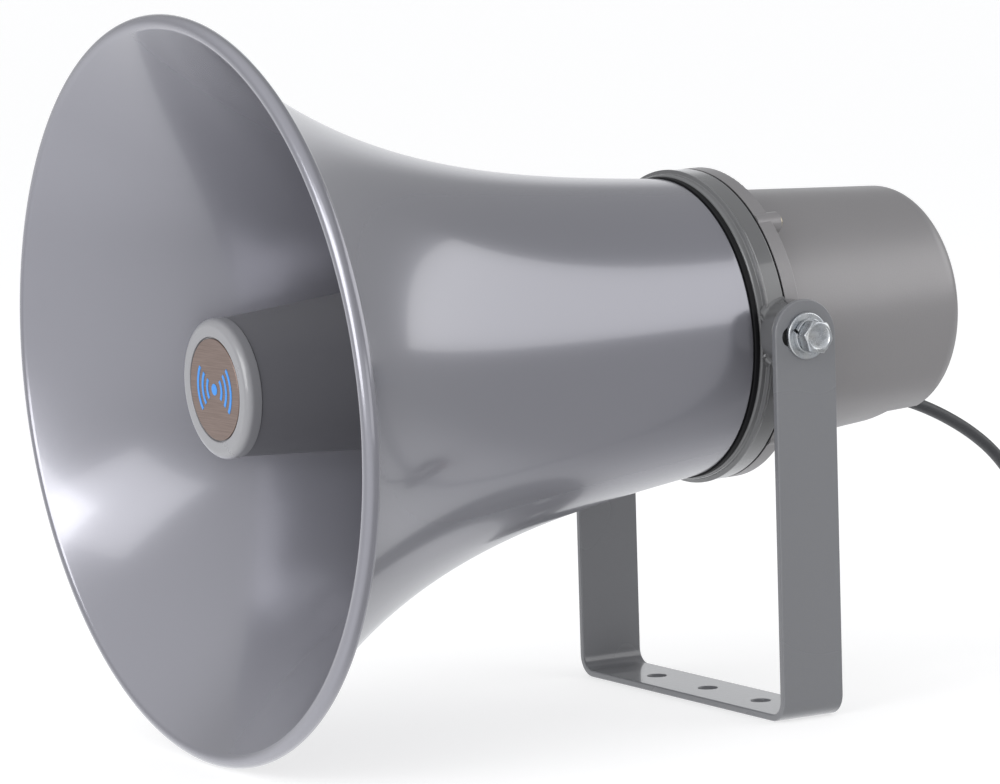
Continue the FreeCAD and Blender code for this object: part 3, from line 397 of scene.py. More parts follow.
def make_materials():
    return {
        "bell_paint": painted(
            "bell_paint", (0.262, 0.261, 0.292), 0.21, 0.0022, 0.000015,
            dust=0.02, wear=0.0, Metallic=0.5, Coat_Weight=0.6, Coat_Roughness=0.08,
        ),
        "reflector_paint": painted("reflector_paint", (0.125, 0.125, 0.137), 0.52, 0.0012, 0.00003),
        "casting_paint": painted(
            "casting_paint", (0.125, 0.126, 0.129), 0.24, 0.0028, 0.000015,
            dust=0.02, wear=0.06, Coat_Weight=0.8, Coat_Roughness=0.05,
        ),
        "bracket_coat": painted(
            "bracket_coat", (0.178, 0.181, 0.192), 0.27, 0.0021, 0.00006,
            dust=0.03, Coat_Weight=0.7, Coat_Roughness=0.08,
        ),
        "cover_plastic": moulded(
            "cover_plastic", (0.262, 0.254, 0.259), 0.36, 0.0006, 0.000035, mottle=0.5, Metallic=0.3
        ),
        "nose_plastic": moulded(
            "nose_plastic", (0.24, 0.24, 0.252), 0.28, 0.0009, 0.000004,
            wear=0.03, mottle=0.2, Coat_Weight=0.4, Coat_Roughness=0.1,
        ),
        "badge_metal": brushed("badge_metal", (0.27, 0.195, 0.165), 0.36, (0.20, 0.14, 0.115)),
        "mark_enamel": moulded("mark_enamel", (0.03, 0.22, 0.62), 0.3, 0.0005, 0.00001),
        "zinc_steel": plated("zinc_steel", (0.62, 0.63, 0.63), 0.24, (0.56, 0.60, 0.66)),
        "yellow_zinc": plated("yellow_zinc", (0.62, 0.53, 0.32), 0.26, (0.55, 0.50, 0.42)),
        "black_rubber": moulded(
            "black_rubber", (0.006, 0.006, 0.007), 0.6, 0.0008, 0.00004,
            wear=0.1, Specular_IOR_Level=0.25,
        ),
        "lead_jacket": moulded("lead_jacket", (0.045, 0.046, 0.05), 0.42, 0.0009, 0.00003),
        "tie_plastic": moulded("tie_plastic", (0.015, 0.015, 0.016), 0.38, 0.0006, 0.00002),
        "core_insulation": moulded("core_insulation", (0.42, 0.03, 0.025), 0.35, 0.0008, 0.00001),
        "core_black": moulded("core_black", (0.02, 0.02, 0.022), 0.35, 0.0008, 0.00001),
        "copper_strand": plated("copper_strand", (0.72, 0.42, 0.28), 0.28, (0.62, 0.36, 0.24)),
        "magnet_ferrite": plated("magnet_ferrite", (0.05, 0.05, 0.055), 0.5, (0.08, 0.08, 0.08)),
        "pole_steel": plated("pole_steel", (0.48, 0.48, 0.50), 0.32, (0.42, 0.43, 0.46)),
        "driver_alloy": plated("driver_alloy", (0.55, 0.55, 0.57), 0.42, (0.45, 0.45, 0.47)),
        "diaphragm_resin": moulded("diaphragm_resin", (0.30, 0.11, 0.03), 0.4, 0.0007, 0.00003),
        "coil_copper": wound("coil_copper", (0.50, 0.20, 0.08)),
        "laminations": laminated("laminations", (0.16, 0.16, 0.18)),
        "bobbin_plastic": moulded("bobbin_plastic", (0.60, 0.57, 0.48), 0.45, 0.0006, 0.00001),
        "tag_board": moulded("tag_board", (0.16, 0.08, 0.035), 0.6, 0.0005, 0.00003),
    }


# --- Meshes -------------------------------------------------------------------------------


def add_piece(name, bm, material, body, matrix=HORN, sharp=32, weighted=True):
    """Make an object of a mesh: smooth, with sharp edges where faces turn further than that."""
    bmesh.ops.transform(bm, matrix=matrix, verts=bm.verts)
    bmesh.ops.recalc_face_normals(bm, faces=bm.faces)
    limit = math.radians(sharp)
    for face in bm.faces:
        face.smooth = True
    for edge in bm.edges:
        edge.smooth = len(edge.link_faces) == 2 and edge.calc_face_angle(0) < limit
    mesh = bpy.data.meshes.new(name)
    bm.to_mesh(mesh)
    bm.free()
    mesh.materials.append(MATERIALS[material])
    piece = bpy.data.objects.new(name, mesh)
    bpy.context.scene.collection.objects.link(piece)
    if weighted:
        normals = piece.modifiers.new("normals", "WEIGHTED_NORMAL")
        normals.keep_sharp = True
    if body:
        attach(piece, body)
    return piece


def skin(bm, rows):
    """Side faces between rings of vertices, each joined to the next."""
    for a, b in zip(rows, rows[1:]):
        count = len(a)
        for k in range(count):
            n = (k + 1) % count
            bm.faces.new((a[k], a[n], b[n], b[k]))


def rounded(points, steps=4):
    """Outline through (y, r, radius) corners, each turned on an arc of that radius."""
    outline = []
    count = len(points)
    for i, (y, r, radius) in enumerate(points):
        corner = Vector((y, r))
        before = Vector(points[i - 1][:2]) - corner
        after = Vector(points[(i + 1) % count][:2]) - corner
        if radius == 0 or min(before.length, after.length) < 1e-9:
            outline.append((y, r))
            continue
        half = before.angle(after) / 2
        reach = min(radius / math.tan(half), 0.49 * before.length, 0.49 * after.length)
        radius = reach * math.tan(half)
        middle = (before.normalized() + after.normalized()).normalized()
        centre = corner + middle * (radius / math.sin(half))
        first = corner + before.normalized() * reach - centre
        last = corner + after.normalized() * reach - centre
        turn = first.angle_signed(last)
        for step in range(steps + 1):
            angle = -turn * step / steps
            spoke = Vector(
                (
                    first.x * math.cos(angle) - first.y * math.sin(angle),
                    first.x * math.sin(angle) + first.y * math.cos(angle),
                )
            )
            outline.append(tuple(centre + spoke))
    return outline


def lathe(outline, segments=192, bm=None, closed=True):
    """Turn an (y, r) outline about the y axis. Points on the axis become poles."""
    bm = bm or bmesh.new()
    rings = []
    for y, r in outline:
        if r < 1e-7:
            rings.append([bm.verts.new((0, y, 0))])
            continue
        ring = []
        for i in range(segments):
            angle = 2 * math.pi * i / segments
            ring.append(bm.verts.new((r * math.sin(angle), y, r * math.cos(angle))))
        rings.append(ring)
    pairs = list(zip(rings, rings[1:]))
    if closed and not (len(rings[0]) == 1 and len(rings[-1]) == 1):
        pairs.append((rings[-1], rings[0]))
    for a, b in pairs:
        for i in range(segments):
            j = (i + 1) % segments
            corners = [a[i % len(a)], a[j % len(a)], b[j % len(b)], b[i % len(b)]]
            corners = list(dict.fromkeys(corners))
            if len(corners) > 2:
                bm.faces.new(corners)
    return bm


def placed(bm, matrix):
    bmesh.ops.transform(bm, matrix=matrix, verts=bm.verts)
    return bm


def gather(target, source):
    """Move the geometry of one mesh into another."""
    mesh = bpy.data.meshes.new("gathered")
    source.to_mesh(mesh)
    source.free()
    target.from_mesh(mesh)
    bpy.data.meshes.remove(mesh)
    return target


# --- Bell ---------------------------------------------------------------------------------

BELL_WALL = 0.0012
BELL_BORE = 0.052
NECK_RADIUS = 0.0656
FLARE_RADIUS = 0.150
RIM_BEAD = 0.0035
FLARE_STOP = 0.0013
FLARE_STRAIGHT_SHARE = 0.28
FLARE_POWER = 3


def flare(y, front, back):
    """Outer radius of the bell at y; it grows gently at the neck and fast at the mouth."""
    share = (y - back) / (front - back)
    rise = FLARE_STRAIGHT_SHARE * share + (1 - FLARE_STRAIGHT_SHARE) * share**FLARE_POWER
    return NECK_RADIUS + (FLARE_RADIUS - NECK_RADIUS) * rise


def bell_outline(front, back, mouth):
    """Bore, inside, rolled rim, outside and the flange's back face, in that order."""
    stations = 96
    end = front + FLARE_STOP
    bead = Vector((front + RIM_BEAD, mouth - RIM_BEAD))
    inner, outer = [], []
    for i in range(stations + 1):
        y = back - 0.003 + (end - back + 0.003) * i / stations
        radius = flare(y, end, back)
        inner.append((y, radius - BELL_WALL))
        if (Vector((y, radius)) - bead).length > RIM_BEAD:
            outer.append((y, radius))
    start = math.atan2(inner[-1][1] - bead.y, bead.x - inner[-1][0])
    stop = math.atan2(outer[-1][1] - bead.y, bead.x - outer[-1][0]) + 2 * math.pi
    rim = []
    steps = 28
    for i in range(1, steps):
        angle = start + (stop - start) * i / steps
        rim.append((bead.x - RIM_BEAD * math.cos(angle), bead.y + RIM_BEAD * math.sin(angle)))
    neck = flare(back, end, back)
    flange = rounded(
        [
            (outer[0][0], outer[0][1], 0),
            (back, neck, 0.0014),
            (back, BELL_BORE, 0.0003),
            (back - BELL_WALL, BELL_BORE, 0.0003),
            (back - BELL_WALL, neck - BELL_WALL, 0.0009),
            (inner[0][0], inner[0][1], 0),
        ]
    )
    return inner + rim + outer[::-1] + flange[1:-1]


def make_bell():
    front, back, mouth = horn_radii("bell")
    bell = add_piece("bell_skin", lathe(bell_outline(front, back, mouth), 256), "bell_paint", "horn")
    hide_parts("bell")


# --- Reflector, nose and badge ------------------------------------------------------------


def make_reflector():
    front, back, wide = horn_radii("reflector")
    narrow = 0.0287
    wall = 0.0016
    outline = rounded(
        [
            (front, narrow, 0.0003),
            (back, wide, 0.0006),
            (back, wide - wall, 0.0006),
            (front, narrow - wall, 0.0003),
        ]
    )
    piece = add_piece("reflector_cone", lathe(outline), "reflector_paint", "horn")
    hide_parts("reflector")


def make_nose():
    front, _, wide = horn_radii("nose_cap")
    joint = horn_box("reflector")[0].y
    badge_radius = horn_radii("badge")[2]
    recess = badge_radius + 0.0006
    floor = front + 0.0012
    spigot = 0.0270
    outline = rounded(
        [
            (floor, 0, 0),
            (floor, recess, 0.0002),
            (front, recess, 0.0004),
            (front, wide, 0.0044),
            (joint - 0.0002, wide, 0.0004),
            (joint - 0.0002, spigot, 0.0002),
            (joint + 0.007, spigot, 0.0005),
            (joint + 0.007, 0, 0),
        ],
        steps=8,
    )
    piece = add_piece("nose_ring", lathe(outline), "nose_plastic", "horn")
    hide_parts("nose_cap")


def make_badge():
    front, back, radius = horn_radii("badge")
    outline = rounded([(back, 0, 0), (back, radius, 0.0001), (front, radius, 0.00035), (front, 0, 0)])
    piece = add_piece("badge_disc", lathe(outline), "badge_metal", "horn")
    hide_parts("badge")


def make_mark():
    """A plain printed sign for sound: a dot and three arcs, raised by the ink's thickness."""
    front, _, radius = horn_radii("badge")
    thickness = 0.00012
    bm = bmesh.new()

    back = front - thickness

    def stroke(inner, outer, start, stop, steps):
        rows = []
        for i in range(steps + 1):
            angle = math.radians(start + (stop - start) * i / steps)
            row = []
            for reach, y in ((inner, front), (inner, back), (outer, back), (outer, front)):
                row.append(bm.verts.new((reach * math.cos(angle), y, reach * math.sin(angle))))
            rows.append(row)
        skin(bm, rows)
        bm.faces.new(rows[0])
        bm.faces.new(rows[-1])

    line = radius * 0.075
    first_arc, arc_step = 0.26, 0.19
    half_angle = 38
    for i in range(3):
        reach = radius * (first_arc + arc_step * i)
        for turn in (0, 180):
            stroke(reach, reach + line, turn - half_angle, turn + half_angle, 28)
    dot = line * 1.5
    gather(bm, lathe([(front, 0), (front, dot), (back, dot), (back, 0)], 48))
    add_piece("badge_mark", bm, "mark_enamel", "horn")


# --- Base casting -------------------------------------------------------------------------

LUG_RADIUS = 0.015
LUG_CLEARANCE = 0.0008


def ring_outline(front, ring, bore):
    """Hub, web, wide ring with a front lip and a low ridge, as (y, r, corner radius) corners."""
    hub = horn_box("base_casting")[0].y
    web = -0.008
    seat = -0.002
    return [
        (hub, bore, 0.0003),
        (hub, bore + 0.006, 0.0016),
        (web, bore + 0.0085, 0.0030),
        (web, ring - 0.0245, 0.0030),
        (front, ring - 0.0185, 0.0005),
        (front, ring - 0.0015, 0.0016),
        (front + 0.0026, ring - 0.0012, 0.0005),
        (front + 0.0031, ring + 0.0005, 0.0003),
        (front + 0.0040, ring + 0.0005, 0.0003),
        (front + 0.0047, ring, 0.0004),
        (0, ring, 0.0009),
        (0, ring - 0.0215, 0.0003),
        (seat, ring - 0.0215, 0.0003),
        (seat, bore, 0.0003),
    ]


def pivot_lug(front, ring, face, bore):
    """Round boss on the +X side: flared where it grows out of the ring, clear of its neighbours."""
    steps = 128
    root = ((0.0020, 0.0), (0.0010, 0.0004), (0.0004, 0.0010), (0.0001, 0.0018), (0, 0.0026))
    bm = bmesh.new()
    rows = []
    for flare_out, rise in root:
        row = []
        for k in range(steps):
            angle = 2 * math.pi * k / steps
            on_ring = front < LUG_RADIUS * math.cos(angle) < 0
            reach = LUG_RADIUS + (flare_out if on_ring else 0)
            y, z = reach * math.cos(angle), reach * math.sin(angle)
            shell = ring - 0.0004 if front < y < 0 else ring + LUG_CLEARANCE
            row.append(bm.verts.new((math.sqrt(shell**2 - z**2) + rise, y, z)))
        rows.append(row)
    for x, reach in (
        (face - 0.0013, LUG_RADIUS),
        (face - 0.0008, LUG_RADIUS - 0.0001),
        (face - 0.0003, LUG_RADIUS - 0.0005),
        (face, LUG_RADIUS - 0.0013),
        (face, bore + 0.0004),
        (face - 0.0004, bore),
        (face - 0.009, bore),
    ):
        row = []
        for k in range(steps):
            angle = 2 * math.pi * k / steps
            row.append(bm.verts.new((x, reach * math.cos(angle), reach * math.sin(angle))))
        rows.append(row)
    skin(bm, rows)
    for row in (rows[0], rows[-1]):
        middle = bm.verts.new((row[0].co.x if row is rows[-1] else ring - 0.0004, 0, 0))
        for k in range(steps):
            bm.faces.new((row[k], row[(k + 1) % steps], middle))
    return bm


def make_casting():
    front = horn_box("bell_gasket")[1].y
    ring = horn_box("rear_cover")[1].x
    face = horn_box("base_casting")[1].x
    bore = 0.01453
    bm = lathe(rounded(ring_outline(front, ring, bore)), 256)
    gather(bm, twins(pivot_lug(front, ring, face, BOLT_RADIUS + 0.00003)))
    piece = add_piece("cast_base", bm, "casting_paint", "horn")
    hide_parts("base_casting")


# --- Gaskets ------------------------------------------------------------------------------


def make_gasket(node, name, bore, edge):
    front, back, radius = horn_radii(node)
    corners = [(front, bore, edge), (front, radius, edge), (back, radius, edge), (back, bore, edge)]
    piece = add_piece(name, lathe(rounded(corners)), "black_rubber", "horn")
    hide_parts(node)


# --- Lead ---------------------------------------------------------------------------------

LEAD_RADIUS = 0.0029
LEAD_EXIT_RUN = 0.015
LEAD_ROUTE = [
    (-0.008, 0.1145, 0.1224),
    (-0.0082, 0.1285, 0.1174),
    (-0.0086, 0.1425, 0.1109),
    (-0.0092, 0.1565, 0.1028),
    (-0.010, 0.1695, 0.093),
    (-0.0108, 0.181, 0.0804),
    (-0.011, 0.1895, 0.0645),
    (-0.0098, 0.1955, 0.0475),
    (-0.0055, 0.2015, 0.0315),
    (0.004, 0.2085, 0.0175),
    (0.017, 0.2168, 0.0076),
    (0.0325, 0.2235, 0.0032),
]
COIL_TURN = 0.031
TIE_ANGLE = 60
TIE_THICKNESS = 0.0009
COIL_START = 118
COIL_END = -24
COIL_STEPS = 16


def lead_exit():
    """Where the lead leaves the tapered end of its grommet."""
    low, high = horn_box("strain_relief")
    return HORN @ Vector(((low.x + high.x) / 2, high.y, (low.z + high.z) / 2))


def coil_points():
    """The put-away turns, clockwise from above: low outer, low inner, high inner, high outer."""
    low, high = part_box("cable_coil")
    centre = (low + high) / 2
    lanes = [(1, -1), (-1, -1), (-1, 1), (1, 1)]
    swell = 1 / (0.75 + 0.25 * math.cos(2 * math.pi / COIL_STEPS))
    steps = round((COIL_START - COIL_END + 3 * 360) / 360 * COIL_STEPS)
    spots = []
    for i in range(steps + 1):
        turns = i / COIL_STEPS
        lane = min(int(turns), 3)
        cross = max(0.0, (turns - lane) * 6 - 5) if lane < 3 else 0.0
        cross = cross * cross * (3 - 2 * cross)
        out = lanes[lane][0] * (1 - cross) + lanes[min(lane + 1, 3)][0] * cross
        lift = lanes[lane][1] * (1 - cross) + lanes[min(lane + 1, 3)][1] * cross
        radius = (COIL_TURN + out * LEAD_RADIUS) * swell
        angle = math.radians(COIL_START - 360 * turns)
        near_tie = max(0.0, math.cos(angle - math.radians(TIE_ANGLE))) ** 16
        height = 2 * LEAD_RADIUS + lift * LEAD_RADIUS + TIE_THICKNESS * near_tie
        spots.append((centre.x + radius * math.cos(angle), centre.y + radius * math.sin(angle), height))
    return spots


def spline_points(name, points):
    """Points along a smooth NURBS line that has these control points."""
    curve = bpy.data.curves.new(name, "CURVE")
    curve.dimensions = "3D"
    curve.resolution_u = 12
    spline = curve.splines.new("NURBS")
    spline.points.add(len(points) - 1)
    for point, spot in zip(spline.points, points):
        point.co = (*spot, 1)
    spline.order_u = 3
    spline.use_endpoint_u = True
    holder = bpy.data.objects.new(name, curve)
    bpy.context.scene.collection.objects.link(holder)
    bpy.context.view_layer.update()
    mesh = bpy.data.meshes.new_from_object(holder)
    spots = [vertex.co.copy() for vertex in mesh.vertices]
    bpy.data.objects.remove(holder)
    bpy.data.meshes.remove(mesh)
    return spots


def tube(spots, radius, sides=24, bm=None, lobes=0, twist=0.0):
    """Sweep a circle along points, with round ends; lobes make it a twist of strands."""
    bm = bm or bmesh.new()
    directions = [(b - a).normalized() for a, b in zip(spots, spots[1:])]
    tangents = [directions[0]]
    tangents += [(a + b).normalized() for a, b in zip(directions, directions[1:])]
    tangents.append(directions[-1])
    across = tangents[0].orthogonal().normalized()
    rings = []
    travelled = 0.0
    for i, (spot, tangent) in enumerate(zip(spots, tangents)):
        across = (across - tangent * across.dot(tangent)).normalized()
        other = tangent.cross(across)
        if i:
            travelled += (spot - spots[i - 1]).length
        ring = []
        for k in range(sides):
            angle = 2 * math.pi * k / sides
            reach = radius
            if lobes:
                reach *= 0.9 + 0.1 * abs(math.cos(lobes * angle / 2 + twist * travelled))
            spoke = across * math.cos(angle) + other * math.sin(angle)
            ring.append(bm.verts.new(spot + spoke * reach))
        rings.append(ring)
    skin(bm, rings)
    bm.faces.new(rings[0])
    bm.faces.new(rings[-1])
    return bm


def measure(spots):
    return sum((b - a).length for a, b in zip(spots, spots[1:]))


def make_lead():
    start = lead_exit()
    straight = start + BACK * LEAD_EXIT_RUN
    spots = spline_points("lead_line", [tuple(start), tuple(straight), *LEAD_ROUTE, *coil_points()])
    lead = add_piece("lead", tube(spots, LEAD_RADIUS), "lead_jacket", None, matrix=ROW, weighted=False)
    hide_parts("cable", "cable_coil")
    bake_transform(lead)
    return lead, spots, start


def make_relief():
    """Rubber grommet: collar, groove for the wall, flange, then ribs that taper along the lead."""
    low, high = horn_box("strain_relief")
    front, back = low.y, high.y
    ribs = 7
    collar, groove, flange, tip = 0.0053, 0.0042, 0.0054, LEAD_RADIUS + 0.0008
    body_start = front + 0.0068
    corners = [
        (front, LEAD_RADIUS, 0.0002),
        (front, collar, 0.0005),
        (front + 0.0018, collar, 0.0002),
        (front + 0.0018, groove, 0.0001),
        (front + 0.0048, groove, 0.0001),
        (front + 0.0048, flange, 0.0004),
        (body_start - 0.0005, flange, 0.0005),
    ]
    pitch = (back - body_start - 0.001) / ribs
    for i in range(ribs):
        start = body_start + i * pitch
        radius = 0.0049 + (tip - 0.0049) * i / (ribs - 1)
        waist = LEAD_RADIUS + 0.0006
        corners += [
            (start, waist, 0.0001),
            (start + pitch * 0.4, waist, 0.0001),
            (start + pitch * 0.4, radius, 0.0003),
            (start + pitch, radius, 0.0003),
        ]
    corners += [(back, tip - 0.0002, 0.0003), (back, LEAD_RADIUS, 0.0002)]
    middle = Vector(((low.x + high.x) / 2, 0, (low.z + high.z) / 2))
    bm = placed(lathe(rounded(corners, steps=2), 64), Matrix.Translation(middle))
    piece = add_piece("ribbed_grommet", bm, "black_rubber", "horn")
    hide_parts("strain_relief")


def make_tie():
    """Nylon tie round the coil's turns: a strap, its square head and the cut tail."""
    low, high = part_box("cable_coil")
    centre = (low + high) / 2
    half = (high.z - low.z) / 2
    width, corner = 0.004, 0.003
    inner, outer = [], []
    for side, rise, start in ((1, 1, 0), (-1, 1, 90), (-1, -1, 180), (1, -1, 270)):
        for step in range(7):
            angle = math.radians(start + 15 * step)
            spoke = Vector((math.cos(angle), 0, math.sin(angle)))
            middle = Vector((side * (half - corner), 0, half + TIE_THICKNESS + rise * (half - corner)))
            inner.append(middle + spoke * corner)
            outer.append(middle + spoke * (corner + TIE_THICKNESS))
    bm = bmesh.new()
    rows = []
    for loop in (inner, outer):
        for shift in (-width / 2, width / 2):
            rows.append([bm.verts.new(spot + Vector((0, shift, 0))) for spot in loop])
    count = len(inner)
    for a, b in ((0, 1), (1, 3), (3, 2), (2, 0)):
        for k in range(count):
            n = (k + 1) % count
            bm.faces.new((rows[a][k], rows[a][n], rows[b][n], rows[b][k]))
    head = bmesh.new()
    bmesh.ops.create_cube(head, size=1)
    bmesh.ops.scale(head, vec=(0.0046, 0.0054, 0.0034), verts=head.verts)
    bmesh.ops.bevel(head, geom=head.edges, offset=0.0006, segments=3, affect="EDGES")
    bmesh.ops.translate(head, vec=(0.0, 0, 2 * half + 0.0018), verts=head.verts)
    tail = bmesh.new()
    bmesh.ops.create_cube(tail, size=1)
    bmesh.ops.scale(tail, vec=(0.006, 0.0032, 0.0009), verts=tail.verts)
    bmesh.ops.bevel(tail, geom=tail.edges, offset=0.0003, segments=2, affect="EDGES")
    lean = Matrix.Rotation(math.radians(-28), 4, "Y")
    placed(tail, Matrix.Translation((0.0046, 0, 2 * half + 0.0030)) @ lean)
    gather(bm, head)
    gather(bm, tail)
    turn = Matrix.Rotation(math.radians(TIE_ANGLE), 4, "Z")
    place = Matrix.Translation((centre.x, centre.y, 0)) @ turn @ Matrix.Translation((COIL_TURN, 0, 0))
    piece = add_piece("nylon_tie", placed(bm, place), "tie_plastic", "bracket", matrix=ROW)
    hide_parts("coil_tie")
    return piece


CORE_RADIUS = 0.0011
CORE_LENGTH = 0.032
STRIPPED = 0.007


def make_cores(lead_spots):
    """The two insulated cores that stick out of the jacket, with twisted bare ends."""
    end = lead_spots[-1]
    onward = (end - lead_spots[-3]).normalized()
    onward.z = 0
    onward.normalize()
    aside = Vector((onward.y, -onward.x, 0))
    pieces = []
    for name, side, material, lean in (
        ("core_red", 1, "core_insulation", 0.10),
        ("core_black", -1, "core_black", -0.16),
    ):
        controls = []
        for share in (-0.10, 0.0, 0.25, 0.5, 0.75, 1.0):
            run = CORE_LENGTH * share
            fall = (end.z - CORE_RADIUS - 0.0003) * min(1.0, max(0.0, share)) ** 1.4
            past = max(0, share)
            spread = side * (CORE_RADIUS + 0.0001 + 0.0016 * past) + lean * CORE_LENGTH * past**2
            controls.append(tuple(end + onward * run + aside * spread - Vector((0, 0, fall))))
        spots = spline_points(name, controls)
        total = measure(spots)
        cut = next(i for i in range(len(spots)) if measure(spots[: i + 1]) > total - STRIPPED)
        sleeve = tube(spots[: cut + 1], CORE_RADIUS, 20)
        piece = add_piece(
            name, sleeve, material, "bracket", matrix=ROW, weighted=False
        )
        strands = tube(spots[cut - 2 :], CORE_RADIUS * 0.62, 28, lobes=7, twist=900)
        wire = add_piece(name + "_wire", strands, "copper_strand", "bracket", matrix=ROW)
        pieces += [piece, wire]
    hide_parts("cable_cores")
    return pieces


# --- Fasteners ----------------------------------------------------------------------------


def twins(bm):
    """A mesh made for the +X side, and the same turned half round for the other."""
    twin = bm.copy()
    placed(twin, Matrix.Rotation(math.pi, 4, "Z"))
    return gather(bm, twin)


def along_x(bm):
    """Turn a mesh drawn about Y so that it lies about X, its -Y end outward on +X."""
    return placed(bm, Matrix.Rotation(math.radians(90), 4, "Z"))


def hexagon_bolt(seat, end, flats, height, shank):
    """Hexagon head with its corners turned off and a shallow dish, on a threaded shank."""
    steps = 144
    half = flats / 2
    chamfer = half * 0.95
    slope = math.tan(math.radians(30))
    head_turn = 0.35
    bm = bmesh.new()

    def ring(reach, rise):
        spots = []
        for i in range(steps):
            angle = 2 * math.pi * i / steps
            off = (math.degrees(angle) + 30) % 60 - 30
            side = half / math.cos(math.radians(off))
            r, x = reach(side), rise(side)
            turned = angle + head_turn
            spots.append(bm.verts.new((seat + x, r * math.cos(turned), r * math.sin(turned))))
        return spots

    top = height * 0.985
    corner = half * 1.135

    def cut(side):
        return top - (side - chamfer) * slope

    rows = [
        ring(lambda side: half * 0.93, lambda side: 0),
        ring(lambda side: half * 0.95, lambda side: 0.0003),
        ring(lambda side: min(side, half * 1.1), lambda side: 0.0005),
        ring(lambda side: min(side, half * 1.125), lambda side: 0.0008),
        ring(lambda side: min(side, corner), lambda side: cut(side) - 0.0002),
        ring(lambda side: min(side, corner) - 0.0001, cut),
        ring(lambda side: chamfer + 0.0001, lambda side: top - 0.00005),
        ring(lambda side: chamfer - 0.0003, lambda side: top + 0.00004),
        ring(lambda side: chamfer * 0.86, lambda side: top),
        ring(lambda side: chamfer * 0.82, lambda side: top - 0.00035),
        ring(lambda side: chamfer * 0.76, lambda side: top - 0.00045),
        ring(lambda side: chamfer * 0.3, lambda side: top - 0.0004),
    ]
    skin(bm, rows)
    bm.faces.new(rows[-1])
    bm.faces.new(rows[0])
    pitch = 0.00125
    turns = int((seat - end) / pitch)
    profile = [(0, 0), (0, shank - 0.0006)]
    for i in range(turns):
        start = i * pitch
        profile += [
            (start + pitch * 0.15, shank - 0.0006),
            (start + pitch * 0.45, shank),
            (start + pitch * 0.6, shank),
            (start + pitch * 0.9, shank - 0.0006),
        ]
    profile += [(seat - end + 0.0004, shank - 0.0006), (seat - end + 0.0004, 0)]
    thread = placed(lathe(profile, 48, closed=False), Matrix.Rotation(math.radians(-90), 4, "Z"))
    return gather(bm, placed(thread, Matrix.Translation((end, 0, 0))))


def split_washer(start, thickness, bore, radius):
    """One coil of square spring wire, its ends sprung apart and cut on the slant."""
    steps = 84
    gap = math.radians(9)
    lift = thickness * 0.16
    begin = math.radians(160)
    bm = bmesh.new()
    rows = []
    soft = 0.00025
    section = [
        (bore, soft),
        (bore + soft, 0),
        (radius - soft, 0),
        (radius, soft),
        (radius, thickness - soft),
        (radius - soft, thickness),
        (bore + soft, thickness),
        (bore, thickness - soft),
    ]
    for i in range(steps + 1):
        share = i / steps
        rise = lift * (share - 0.5)
        row = []
        for r, x in section:
            slant = (x / thickness - 0.5) * gap * 0.8
            angle = begin + gap / 2 + (2 * math.pi - gap) * share + slant
            height = start + lift / 2 + rise + x * (1 - 0.16)
            row.append(bm.verts.new((height, r * math.cos(angle), r * math.sin(angle))))
        rows.append(row)
    skin(bm, rows)
    bm.faces.new(rows[0])
    bm.faces.new(rows[-1])
    return bm


def flat_washer(start, thickness, bore, radius):
    corners = [
        (-start, bore, 0.0002),
        (-start, radius, 0.0003),
        (-start - thickness, radius, 0.0006),
        (-start - thickness, bore, 0.0002),
    ]
    return along_x(lathe(rounded(corners, steps=3), 128))


BOLT_FLATS = 0.013
BOLT_RADIUS = 0.004
BOLT_BORE = 0.00415


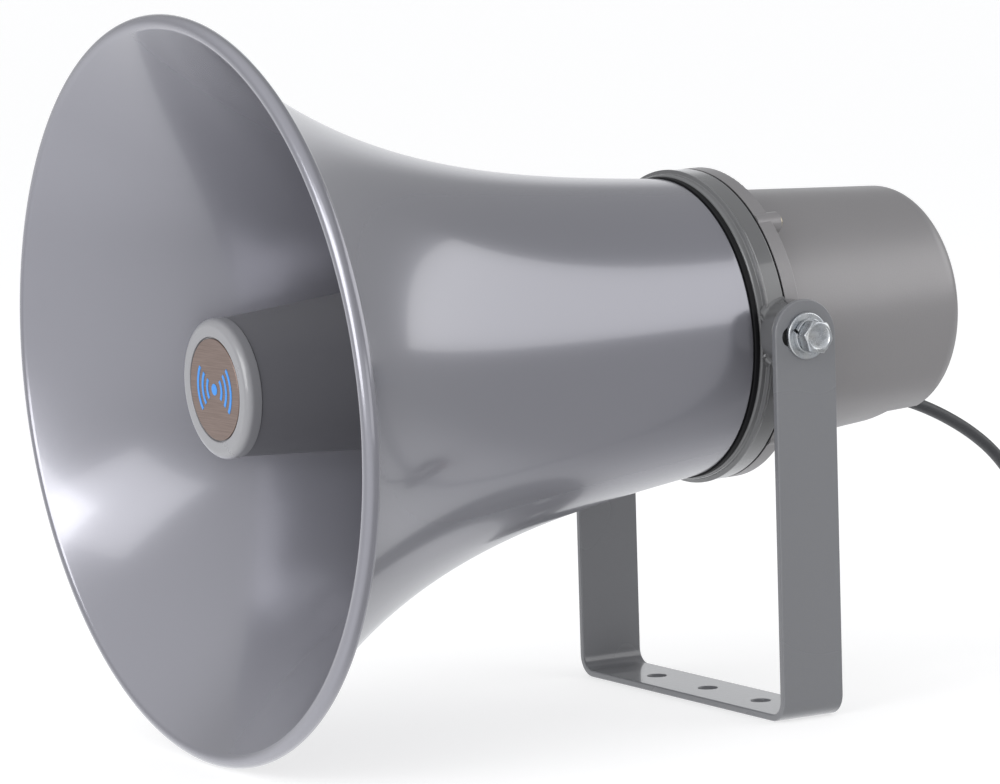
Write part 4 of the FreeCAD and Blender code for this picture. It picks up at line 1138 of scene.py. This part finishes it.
def make_pivot_hardware():
    """M8 bolt, split washer and flat washer on each side of the bracket."""
    at_pivot = Matrix.Translation(PIVOT)
    owner = owner_of("pivot_bolts")
    washer_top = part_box("flat_washers")[1]
    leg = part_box("u_bracket")[1].x
    spring_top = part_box("spring_washers")[1]
    head_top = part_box("pivot_bolts")[1]
    bolt_end = min(v.co.x for v in NODES["pivot_bolts"].data.vertices if v.co.x > 0)
    washer = flat_washer(leg, washer_top.x - leg, BOLT_BORE, washer_top.z - PIVOT.z)
    spring = split_washer(washer_top.x, spring_top.x - washer_top.x, BOLT_BORE, spring_top.z - PIVOT.z)
    bolt = hexagon_bolt(spring_top.x, bolt_end, BOLT_FLATS, head_top.x - spring_top.x, BOLT_RADIUS)
    for name, bm, node in (
        ("plain_washers", washer, "flat_washers"),
        ("split_washers", spring, "spring_washers"),
        ("hexagon_bolts", bolt, "pivot_bolts"),
    ):
        piece = add_piece(name, twins(bm), "zinc_steel", owner, matrix=at_pivot)
        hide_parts(node)


# --- CAD nodes ----------------------------------------------------------------------------


def owner_of(node):
    """The body that a CAD node belongs to."""
    bodies = frame["record"]["behaviour"]["bodies"]
    return next(body for body, nodes in bodies.items() if node in nodes)


def dress_nodes():
    """Give each CAD node the material of its slot."""
    for part in frame["record"]["subparts"]:
        node = NODES[part["node"]]
        node.data.materials.clear()
        node.data.materials.append(MATERIALS[part["material_slot"]])


def make_bracket():
    """The CAD's strip, its edges rounded as a punched and coated strip's are."""
    edge_radius = 0.0006
    sharp_corner = math.radians(28)
    bm = bmesh.new()
    bm.from_mesh(NODES["u_bracket"].data)
    bmesh.ops.remove_doubles(bm, verts=bm.verts, dist=2e-6)
    bmesh.ops.dissolve_limit(bm, angle_limit=math.radians(0.6), verts=bm.verts, edges=bm.edges)
    chosen = [e for e in bm.edges if len(e.link_faces) == 2 and e.calc_face_angle(0) > sharp_corner]
    bmesh.ops.bevel(
        bm,
        geom=chosen,
        offset=edge_radius,
        segments=3,
        profile=0.5,
        affect="EDGES",
        clamp_overlap=False,
    )
    owner = owner_of("u_bracket")
    piece = add_piece("bracket_strip", bm, "bracket_coat", owner, matrix=ROW, sharp=40)
    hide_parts("u_bracket")


make_camera()
make_stage()
MATERIALS = make_materials()
dress_nodes()
lead, lead_spots, exit_spot = make_lead()
tie = make_tie()
cores = make_cores(lead_spots)
make_relief()
make_bell()
make_reflector()
make_nose()
make_badge()
make_mark()
make_gasket("bell_gasket", "bell_seal", BELL_BORE, 0.0004)
make_gasket("cover_gasket", "cover_seal", 0.0555, 0.0001)
make_pivot_hardware()
make_bracket()
make_casting()
